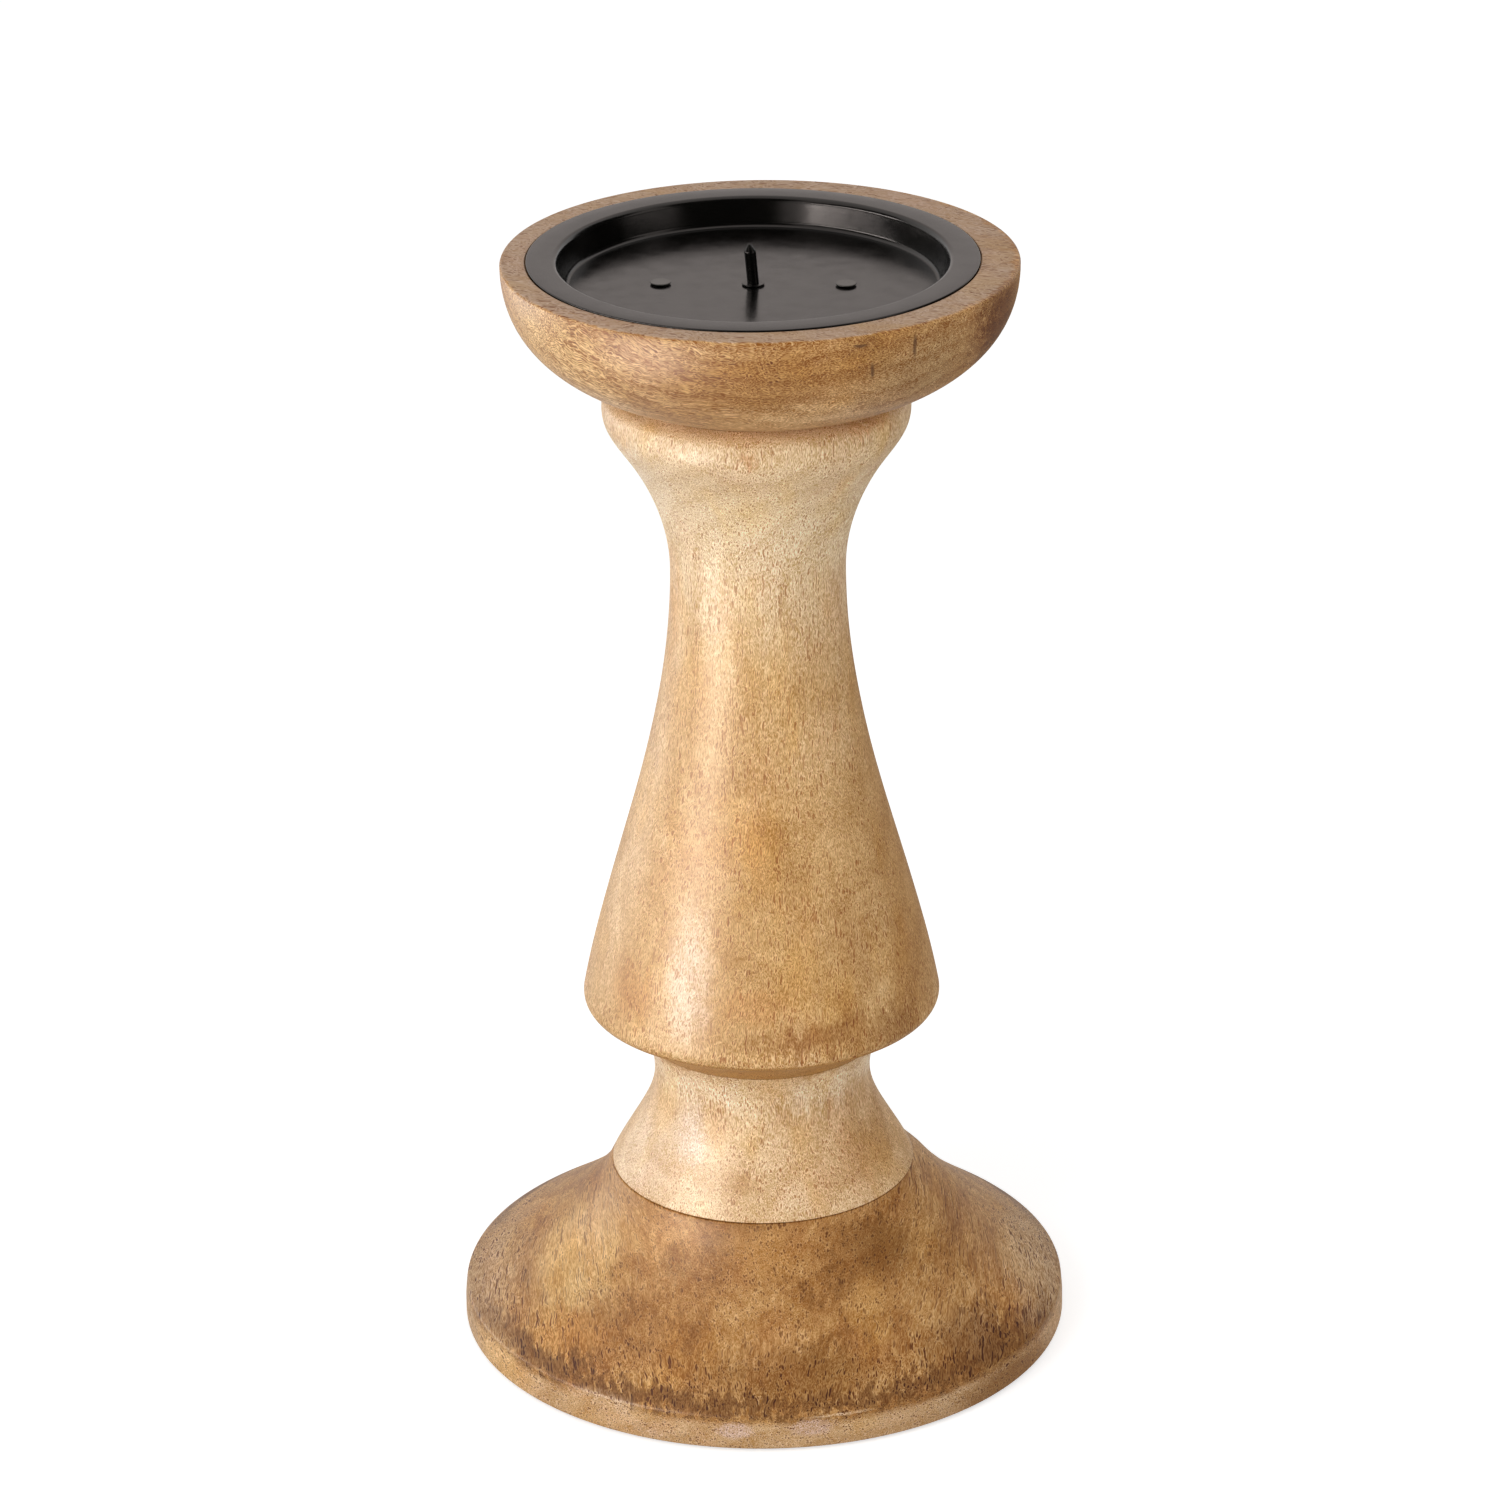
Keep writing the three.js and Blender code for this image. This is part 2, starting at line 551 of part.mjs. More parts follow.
const footScrew = piece('foot_screw', screwGeometry(footScrewLength), zincSteel, 0, 0, footScrewLevel);
footScrew.rotation.x = Math.PI;
candlestick.add(footScrew);

const plateGroup = new THREE.Group();
plateGroup.position.set(PLATE_OFF_CENTRE, 0, plateLevel);
plateGroup.add(
  piece('candle_plate', plateGeometry(), blackSteel),
  piece('candle_spike', spikeGeometry(), blackSteel, 0, 0, SEAT_GAP - PLATE_DEPTH),
);
tackPlaces().forEach((place, i) => {
  const name = ['plate_tack_left', 'plate_tack_right'][i];
  plateGroup.add(piece(name, tackGeometry(), blackSteel, place.x, place.y, SEAT_GAP - PLATE_DEPTH));
});
candlestick.add(plateGroup);

export default candlestick;
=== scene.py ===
import math

import bmesh
import bpy
from mathutils import Euler, Matrix, Vector, noise


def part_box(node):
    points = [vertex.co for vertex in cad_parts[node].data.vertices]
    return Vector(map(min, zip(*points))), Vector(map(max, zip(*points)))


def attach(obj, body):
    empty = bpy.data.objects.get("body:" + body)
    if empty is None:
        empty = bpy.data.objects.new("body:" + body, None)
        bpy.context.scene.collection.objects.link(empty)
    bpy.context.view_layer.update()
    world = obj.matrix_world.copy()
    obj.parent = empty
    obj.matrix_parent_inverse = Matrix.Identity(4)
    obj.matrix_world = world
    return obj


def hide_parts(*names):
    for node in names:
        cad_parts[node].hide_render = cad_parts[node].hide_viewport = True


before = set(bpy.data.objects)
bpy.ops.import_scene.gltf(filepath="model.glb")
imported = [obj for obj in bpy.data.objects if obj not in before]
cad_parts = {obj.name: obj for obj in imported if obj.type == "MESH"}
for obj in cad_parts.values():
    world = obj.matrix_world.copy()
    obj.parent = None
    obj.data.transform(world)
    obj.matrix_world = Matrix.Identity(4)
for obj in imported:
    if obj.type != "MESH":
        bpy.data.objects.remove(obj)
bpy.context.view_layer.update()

# Every size below is in millimetres, and MM turns it into metres when a mesh is made
MM = 0.001

# Camera: a long lens that looks down on the candlestick from the front, a little out of level
CAMERA_PLACE = (-2.4, -1321.8, 725.5)
CAMERA_PITCH = math.radians(23.19)
CAMERA_ROLL = math.radians(-0.5534)
CAMERA_LENS = 135.74
CAMERA_SENSOR = 36
CAMERA_REACH = 30000

# Turned pieces
TURNED_SIDES = 176
SMALL_SIDES = 48
FIT_GAP = 0.3
SEAT_GAP = 0.3
SCREW_HOLE_RADIUS = 3.3
SHARP_ANGLE = math.radians(33)
MERGE_GAP = 0.001

# Wobble of hand turning: its size, how fine it is round the axis and along it, and where it stops
HANDMADE_WOBBLE = 0.12
WOBBLE_FINENESS = 1.3
WOBBLE_HEIGHT = 34
WOBBLE_FADE = 4
WOBBLE_MARGIN = 1
WOBBLE_INNER_RADIUS = 16.5

# Foot
FOOT_BAND_HEIGHT = 8.9
FOOT_BAND_TAPER = 0.4
FOOT_BAND_EASE = 0.7
FOOT_EDGE_RADIUS = 0.8
FOOT_COUNTERBORE_RADIUS = 9.6
FOOT_COUNTERBORE_DEPTH = 14
SEAM_RADIUS = 39.4
SEAM_EASE = 0.3
SEAM_MARGIN = 0.5
FOOT_SLOPE_SHIFT = 1.5
FOOT_SLOPE_SHIFT_RISE = 20
FOOT_SLOPE_SHIFT_FADE = 5
FOOT_SLOPE = dict(leave=146.3, arrive=127.5, pull=(0.615, 0.294), steps=34)

# Felt pads
PADS = ("foot_pad_1", "foot_pad_2", "foot_pad_3", "foot_pad_4")
PAD_SIDES = 64
PAD_LOWER_EDGE = 0.35
PAD_UPPER_EDGE = 0.2
PAD_HOLE_START = -5

# Neck
NECK_RISE = 26.1
NECK_WAIST_RADIUS = 28
NECK_COVE_HEIGHT = 10.6
NECK_TOP_RADIUS = 30.8
NECK_SPIGOT_RADIUS = 12
NECK_SPIGOT_LENGTH = 10
NECK_SWEEP = dict(leave=117.6, arrive=90, pull=(0.4, 0.306), steps=26)
NECK_COVE = dict(leave=90, arrive=54, pull=(0.34, 0.3), steps=12)

# Stem
BELL_UNDERCUT = 9.4
BELL_RADIUS = 45.95
BELL_LIP_HEIGHT = 3.1
BELL_LIP_INSET = 1.1
BELL_LIP_EASE = 0.25
SHAFT_HEIGHT = 116
SHAFT_WAIST_RADIUS = 22.1
FLARE_HEIGHT = 31.9
FLARE_TOP_RADIUS = 33.35
COLLAR_ROLL_HEIGHT = 11.3
COLLAR_RADIUS = 38.4
COLLAR_SEAT_RADIUS = 34.2
COLLAR_SEAT_RISE = 0.75
STEM_SPIGOT_RADIUS = 11
STEM_FOOT_SPIGOT = 8
STEM_BOWL_SPIGOT = 7
LOWER_HOLE_DEPTH = 33.5
UPPER_HOLE_DEPTH = 26.5
BELL_UNDERSIDE = dict(leave=52, arrive=22, pull=(0.33, 0.33), steps=10)
BELL_LIP = dict(leave=40, arrive=98, pull=(0.35, 0.4), steps=12)
SHAFT_SWEEP = dict(leave=100.6, arrive=90, pull=(0.31, 0.364), steps=56)
FLARE_SWEEP = dict(leave=90, arrive=53.9, pull=(0.355, 0.307), steps=22)
COLLAR_ROLL = dict(leave=53.9, arrive=90, pull=(0.55, 0.32), steps=16)
COLLAR_SHOULDER = dict(leave=90, arrive=158, pull=(0.5, 0.4), steps=14)

# Bowl
BOWL_UNDERSIDE_RADIUS = 31.6
BOWL_EDGE_RADIUS = 0.8
BOWL_RIM_FLAT = 3
BOWL_RIM_EASE = 0.25
BOWL_RIM_MARGIN = 2
BOWL_BORE_RADIUS = 9.6
BOWL_FLOOR_INNER_RADIUS = 19.2
BOWL_SIDE = dict(leave=16.7, arrive=90, pull=(0.407, 0.401), steps=40)

# Candle plate
PLATE_SHEET = 1
PLATE_DEPTH = 7.2
PLATE_FLOOR_RADIUS = 46.5
PLATE_WALL_LEAN = 1.5
PLATE_CORNER_RADIUS = 1.4
PLATE_LIP_RADIUS = 1.5
PLATE_FLOOR_RINGS = (36, 20, 8, 0)
PLATE_UNDERSIDE_RINGS = (0, 20)
PLATE_HOLE_SIDES = 24
FLANGE_INSET = 0.3
FLANGE_FLAT = 3
FLANGE_LOWER_EASE = 0.2
FLANGE_UPPER_EASE = 0.35

# Spike and tacks
SPIKE_RADIUS = 1.45
SPIKE_HEIGHT = 10.2
SPIKE_POINT_HEIGHT = 1.8
SPIKE_TIP_RADIUS = 0.25
SPIKE_RINGS = 8
SPIKE_SHOULDER_EASE = 0.3
SPIKE_TIP_EASE = 0.12
SPIKE_LEAN = math.radians(5)
SPIKE_COLLAR_RADIUS = 2.8
SPIKE_COLLAR_HEIGHT = 0.2
SPIKE_COLLAR_EASE = 0.1
SPIKE_COLLAR_INSET = 0.4
SPIKE_TAIL_RADIUS = 1.1
RIVET_RADIUS = 2.2
RIVET_HEIGHT = 0.7
RIVET_CROWN = (0.8, 0.7)
TACKS = ("plate_tack_left", "plate_tack_right")
TACK_HEAD_RADIUS = 2.6
TACK_HEAD_HEIGHT = 0.9
TACK_HEAD_THICK = 0.35
TACK_HEAD_INSET = 0.5
TACK_UPPER_EASE = 0.2
TACK_LOWER_EDGE = 0.15
TACK_SHANK_RADIUS = 0.9
TACK_LENGTH = 12
TACK_POINT_LENGTH = 2.5

# Screws and washers
SCREW_RADIUS = 3
SCREW_CORE_RADIUS = 2.1
SCREW_THREAD_LENGTH = 28
SCREW_POINT_LENGTH = 5
SCREW_HEAD_RADIUS = 5.75
SCREW_HEAD_HEIGHT = 3.2
SCREW_HEAD_STEPS = 12
CROSS_SLOT_LENGTH = 6
CROSS_SLOT_WIDTH = 1.5
CROSS_SLOT_DEPTH = 1.8
THREAD_PITCH = 4
THREAD_STEPS = 24
THREAD_RIDGE_WIDTH = 1.6
THREAD_ROOT_DEPTH = 0.3
WASHER_RADIUS = 9
WASHER_SIDES = 72
WASHER_BEVEL = 0.18

# Figure of the wood: how far apart its parts repeat, and how strongly they show
SLOW_WAVE = 46
QUICK_WAVE = 5
BROAD_CLOUD = 26
SMALL_CLOUD = 6
SMALL_CLOUD_SHARE = 0.45
STREAK_WIDTH = 1.5
TONE_SPREAD = 0.24
CAST_PATCH = 15
PINKISH_CAST = 0.25
YELLOWISH_CAST = 0.6
SHIMMER_BAND = 5
SHIMMER_SHARE = 0.3
HALO_SHARE = 0.3
BOLD_FLECK = 1.9
BOLD_VESSELS = 1.8
WORN_FLECK = 0.3
CRACK_SHADE = (96, 60, 30)
CRACK_STRENGTH = 0.8
CRACK_SOFTNESS = 0.7
# Below this height, surfaces that look steeply down get a painted shade
UNDERSIDE_SHADE_LEVEL = 92

# Room, and what the camera and the gloss see of the floor beyond its own light
ROOM_LIGHT = 0.56
WHITE = (1, 1, 1, 1)
FLOOR_HALF_SIZE = 6000
FLOOR_COLOUR = (0.7, 0.7, 0.7, 1)
FLOOR_GLOW = 0.62
FLOOR_GLOSSY_SHARE = 0.4
CARD_AIM = (0, 0, 300)
CARD_SHADE = (0.02, 0.02, 0.02)


def middle(node):
    """Middle of a CAD node, in millimetres."""
    low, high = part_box(node)
    return (Vector(low) + Vector(high)) / 2 / MM


def reach(node):
    """Half the width of a CAD node, in millimetres."""
    low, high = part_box(node)
    return (high[0] - low[0]) / 2 / MM


def ends(node):
    """Heights of a CAD node's lowest and highest points, in millimetres."""
    low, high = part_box(node)
    return low[2] / MM, high[2] / MM


def direction(degrees):
    angle = math.radians(degrees)
    return Vector((math.cos(angle), math.sin(angle)))


def sweep(start, end, leave, arrive, pull, steps):
    """A smooth outline between two points, its angles in degrees from the radius axis."""
    start, end = Vector(start), Vector(end)
    span = (end - start).length
    first = start + direction(leave) * span * pull[0]
    second = end - direction(arrive) * span * pull[1]
    points = []
    for i in range(steps + 1):
        t = i / steps
        u = 1 - t
        points.append(start * u**3 + first * 3 * u * u * t + second * 3 * u * t * t + end * t**3)
    return points


def arc(centre, radius, first, last, steps=6):
    """Points on an arc, from one angle to another in degrees."""
    centre = Vector(centre)
    return [centre + direction(first + (last - first) * i / steps) * radius for i in range(steps + 1)]


def eased(before, corner, after, radius, steps=4):
    """A corner between two points, rounded off over the given distance along both sides."""
    before, corner, after = Vector(before), Vector(corner), Vector(after)
    start = corner + (before - corner).normalized() * radius
    end = corner + (after - corner).normalized() * radius
    points = []
    for i in range(steps + 1):
        t = i / steps
        points.append(start.lerp(corner, t).lerp(corner.lerp(end, t), t))
    return points


def mesh_of(name, shape):
    """A mesh in metres made of a shape in millimetres."""
    mesh = bpy.data.meshes.new(name)
    shape.to_mesh(mesh)
    shape.free()
    mesh.transform(Matrix.Scale(MM, 4))
    return mesh


def placed(name, data):
    """A new object in the scene."""
    thing = bpy.data.objects.new(name, data)
    bpy.context.scene.collection.objects.link(thing)
    return thing


def finished(name, shape, material, *replaced, slot):
    """Makes a piece of the shape, with smooth faces and sharp corners."""
    bmesh.ops.recalc_face_normals(shape, faces=shape.faces[:])
    mesh = mesh_of(name, shape)
    mesh.polygons.foreach_set("use_smooth", [True] * len(mesh.polygons))
    mesh.set_sharp_from_angle(angle=SHARP_ANGLE)
    mesh.materials.append(material)
    piece = placed(name, mesh)
    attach(piece, "root")
    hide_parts(*replaced)
    return piece


def spun(bm, outline, closed=True, sides=TURNED_SIDES, centre=(0, 0), turn=None):
    """Turns an outline of (radius, height) points about an upright axis."""
    corners = [bm.verts.new((point[0], 0, point[1])) for point in outline]
    edges = [bm.edges.new(pair) for pair in zip(corners, corners[1:])]
    if closed:
        edges.append(bm.edges.new((corners[-1], corners[0])))
    before = set(bm.verts) - set(corners)
    bmesh.ops.spin(
        bm,
        geom=corners + edges,
        cent=(0, 0, 0),
        axis=(0, 0, 1),
        dvec=(0, 0, 0),
        angle=2 * math.pi,
        steps=sides,
        use_merge=True,
        use_duplicate=False,
    )
    made = [v for v in bm.verts if v not in before]
    bmesh.ops.remove_doubles(bm, verts=made, dist=MERGE_GAP)
    made = [v for v in bm.verts if v not in before]
    if turn is not None:
        bmesh.ops.transform(bm, matrix=turn, verts=made)
    bmesh.ops.translate(bm, verts=made, vec=(centre[0], centre[1], 0))
    return made


def handmade(verts, lowest, highest, seed, outward=True):
    """Moves the outside of a turned piece in and out a little, as hand turning and sanding do."""
    for v in verts:
        radius = math.hypot(v.co.x, v.co.y)
        if radius < WOBBLE_INNER_RADIUS or not lowest < v.co.z < highest:
            continue
        ease = min(1, (v.co.z - lowest) / WOBBLE_FADE, (highest - v.co.z) / WOBBLE_FADE)
        around = Vector((v.co.x / radius, v.co.y / radius, v.co.z / WOBBLE_HEIGHT + seed))
        move = noise.noise(around * WOBBLE_FINENESS) * HANDMADE_WOBBLE
        if not outward:
            move = -abs(move)
        v.co.x += v.co.x / radius * move * ease
        v.co.y += v.co.y / radius * move * ease


def carved(piece, cutters):
    """Cuts holes in a piece and leaves the result in its mesh."""
    for tool in cutters:
        cut = piece.modifiers.new("hole", "BOOLEAN")
        cut.operation = "DIFFERENCE"
        cut.solver = "EXACT"
        cut.object = tool
    graph = bpy.context.evaluated_depsgraph_get()
    mesh = bpy.data.meshes.new_from_object(piece.evaluated_get(graph), depsgraph=graph)
    piece.modifiers.clear()
    tidied = bmesh.new()
    tidied.from_mesh(mesh)
    bmesh.ops.remove_doubles(tidied, verts=tidied.verts[:], dist=MERGE_GAP * MM)
    bmesh.ops.dissolve_degenerate(tidied, edges=tidied.edges[:], dist=MERGE_GAP * MM)
    tidied.to_mesh(mesh)
    tidied.free()
    piece.data = mesh
    mesh.set_sharp_from_angle(angle=SHARP_ANGLE)
    for tool in cutters:
        bpy.data.objects.remove(tool)


def cutter(shape):
    """A helper object that carved() takes away again."""
    bmesh.ops.recalc_face_normals(shape, faces=shape.faces[:])
    return placed("cutter", mesh_of("cutter", shape))


def drill(place, bottom, top, radius, sides=SMALL_SIDES):
    """A cutter for an upright hole."""
    shape = bmesh.new()
    outline = [(0, bottom), (radius, bottom), (radius, top), (0, top)]
    spun(shape, outline, closed=False, sides=sides, centre=place)
    return cutter(shape)


# Materials

class Look:
    """The nodes of one material, or of the world. Most methods add a node and return its output."""

    def __init__(self, name, world=False):
        self.made = (bpy.data.worlds if world else bpy.data.materials).new(name)
        self.made.use_nodes = True
        self.tree = self.made.node_tree
        self.tree.nodes.clear()
        self.out = self.new("OutputWorld" if world else "OutputMaterial")

    def new(self, kind):
        return self.tree.nodes.new("ShaderNode" + kind)

    def show(self, shader):
        self.tree.links.new(shader, self.out.inputs[0])

    def add(self, kind, output=0, inputs=None, **settings):
        node = self.new(kind)
        for key, value in settings.items():
            setattr(node, key, value)
        for key, value in (inputs or {}).items():
            self.put(node, key, value)
        return node.outputs[output]

    def put(self, node, key, value):
        if isinstance(value, bpy.types.NodeSocket):
            self.tree.links.new(value, node.inputs[key])
        else:
            node.inputs[key].default_value = value

    def math(self, operation, a, b=0.0, c=0.0, clamp=False):
        inputs = {0: a, 1: b, 2: c}
        return self.add("Math", inputs=inputs, operation=operation, use_clamp=clamp)

    def times(self, a, b):
        return self.math("MULTIPLY", a, b)

    def vector(self, operation, a, b=(0, 0, 0), output=0):
        return self.add("VectorMath", output, inputs={0: a, 1: b}, operation=operation)

    def stretched(self, vector, scale):
        """The vector with each part multiplied by its own factor."""
        return self.vector("MULTIPLY", vector, scale)

    def length(self, vector):
        return self.vector("LENGTH", vector, output="Value")

    def split(self, vector):
        node = self.new("SeparateXYZ")
        self.tree.links.new(vector, node.inputs[0])
        return node.outputs

    def noise(self, vector, grain, detail=2.0, roughness=0.5, output="Fac"):
        """Cloudy noise, the grain being the size of its clouds in millimetres."""
        inputs = {"Vector": vector, "Scale": 1 / grain, "Detail": detail, "Roughness": roughness}
        return self.add("TexNoise", output, inputs)

    def pushed(self, vector, grain, detail, roughness, amount):
        """The vector pushed about by noise, by up to about half the amount."""
        push = self.noise(vector, grain, detail, roughness, "Color")
        push = self.vector("SUBTRACT", push, (0.5, 0.5, 0.5))
        return self.vector("ADD", vector, self.stretched(push, (amount, amount, amount)))

    def line(self, value, low, high, to_low=0.0, to_high=1.0, **settings):
        """Goes evenly from one value to another as the input passes from low to high."""
        inputs = {"Value": value, "From Min": low, "From Max": high, "To Min": to_low, "To Max": to_high}
        return self.add("MapRange", inputs=inputs, **settings)

    def step(self, *values):
        """Like line(), with a smooth start and end."""
        return self.line(*values, interpolation_type="SMOOTHSTEP")

    def mix(self, factor, a, b, blend="MIX"):
        node = self.new("Mix")
        node.data_type = "RGBA"
        node.blend_type = blend
        node.clamp_factor = True
        self.put(node, 0, factor)
        self.put(node, 6, rgba(a))
        self.put(node, 7, rgba(b))
        return node.outputs[2]

    def ramp(self, value, stops):
        node = self.new("ValToRGB")
        self.tree.links.new(value, node.inputs[0])
        elements = node.color_ramp.elements
        while len(elements) < len(stops):
            elements.new(0.5)
        for element, (place, colour) in zip(elements, stops):
            element.position = place
            element.color = rgba(colour)
        return node.outputs[0]

    def bump(self, height, strength, distance, normal=None):
        inputs = {"Height": height, "Strength": strength, "Distance": distance * MM}
        if normal is not None:
            inputs["Normal"] = normal
        return self.add("Bump", inputs=inputs)

    def surface(self, **inputs):
        node = self.new("BsdfPrincipled")
        for key, value in inputs.items():
            self.put(node, key.replace("_", " "), value)
        self.show(node.outputs[0])


def rgba(colour):
    """A colour from sRGB numbers of 0 to 255, or a socket or linear colour as it is."""
    if isinstance(colour, bpy.types.NodeSocket) or len(colour) == 4:
        return colour
    linear = []
    for part in colour:
        part = part / 255
        linear.append(part / 12.92 if part <= 0.04045 else ((part + 0.055) / 1.055) ** 2.4)
    return (*linear, 1.0)


def millimetres(look, turn=(0, 0, 0), shift=(0, 0, 0)):
    """Object coordinates in millimetres, turned so that the wood's fibres run along Z."""
    place = look.add("TexCoord", "Object")
    inputs = {"Vector": place, "Scale": (1 / MM,) * 3, "Rotation": turn, "Location": shift}
    return look.add("Mapping", inputs=inputs, vector_type="POINT")


def ragged(look, place, grain, amount):
    """The place pushed about, so that what is laid out on it gets an uneven edge."""
    return look.pushed(place, grain, 3.0, 0.6, amount)


def patch(look, place, centre, size, edge=0.8):
    """1 in the middle of a soft-edged patch and 0 outside it. Centre and size are in millimetres."""
    away = look.vector("SUBTRACT", place, centre)
    away = look.stretched(away, tuple(1 / part for part in size))
    return look.step(look.length(away), 1.0, 1.0 - edge)


def hoop(look, place, radius, height, wide, high, edge=0.8):
    """1 in a ring-shaped zone round the axis and 0 outside it."""
    away = look.length(look.stretched(place, (1, 1, 0)))
    across = look.math("DIVIDE", look.math("SUBTRACT", away, radius), wide)
    upward = look.math("DIVIDE", look.math("SUBTRACT", look.split(place)[2], height), high)
    both = look.add("CombineXYZ", inputs={"X": across, "Y": upward})
    return look.step(look.length(both), 1.0, 1.0 - edge)


def spread(look, place, spots):
    """1 inside any of the given spots and 0 outside them, or None without any.

    A spot is a patch, as (centre, size, edge), or a hoop, as (radius, height, wide, high, edge). The
    edge may be left out.
    """
    area = None
    for spot in spots:
        zone = hoop(look, place, *spot) if len(spot) > 3 else patch(look, place, *spot)
        area = zone if area is None else look.math("MAXIMUM", area, zone)
    return area


def vessels(look, grain, spacing, radius, run):
    """Open vessels: tubes along the fibres, seen as dots, dashes or lines where the surface cuts them.

    Gives the vessels and the paler fibres round them.
    """
    node = look.new("TexVoronoi")
    node.voronoi_dimensions = "2D"
    look.put(node, "Vector", look.stretched(grain, (1 / spacing, 1 / spacing, 0)))
    look.put(node, "Scale", 1)
    chance = look.line(look.split(node.outputs["Color"])[0], 0, 1, 0.5, 1.3)
    along = look.stretched(grain, (0.6 / spacing, 0.6 / spacing, 1 / run))
    swell = look.line(look.noise(along, 1, 1.0), 0.40, 0.60, 0.15, 1.15)
    wide = look.times(chance, swell)
    wide = look.times(wide, radius / spacing)
    inner = look.times(wide, 0.5)
    halo = look.times(wide, 2.4)
    distance = node.outputs["Distance"]
    return look.step(distance, wide, inner), look.step(distance, halo, wide)


def under(look, place, height):
    """1 where the surface looks steeply down below the given height and 0 elsewhere."""
    facing = look.split(look.add("NewGeometry", "Normal"))[2]
    low = look.step(look.split(place)[2], height, height - 1)
    return look.times(look.step(facing, -0.3, -0.5), low)


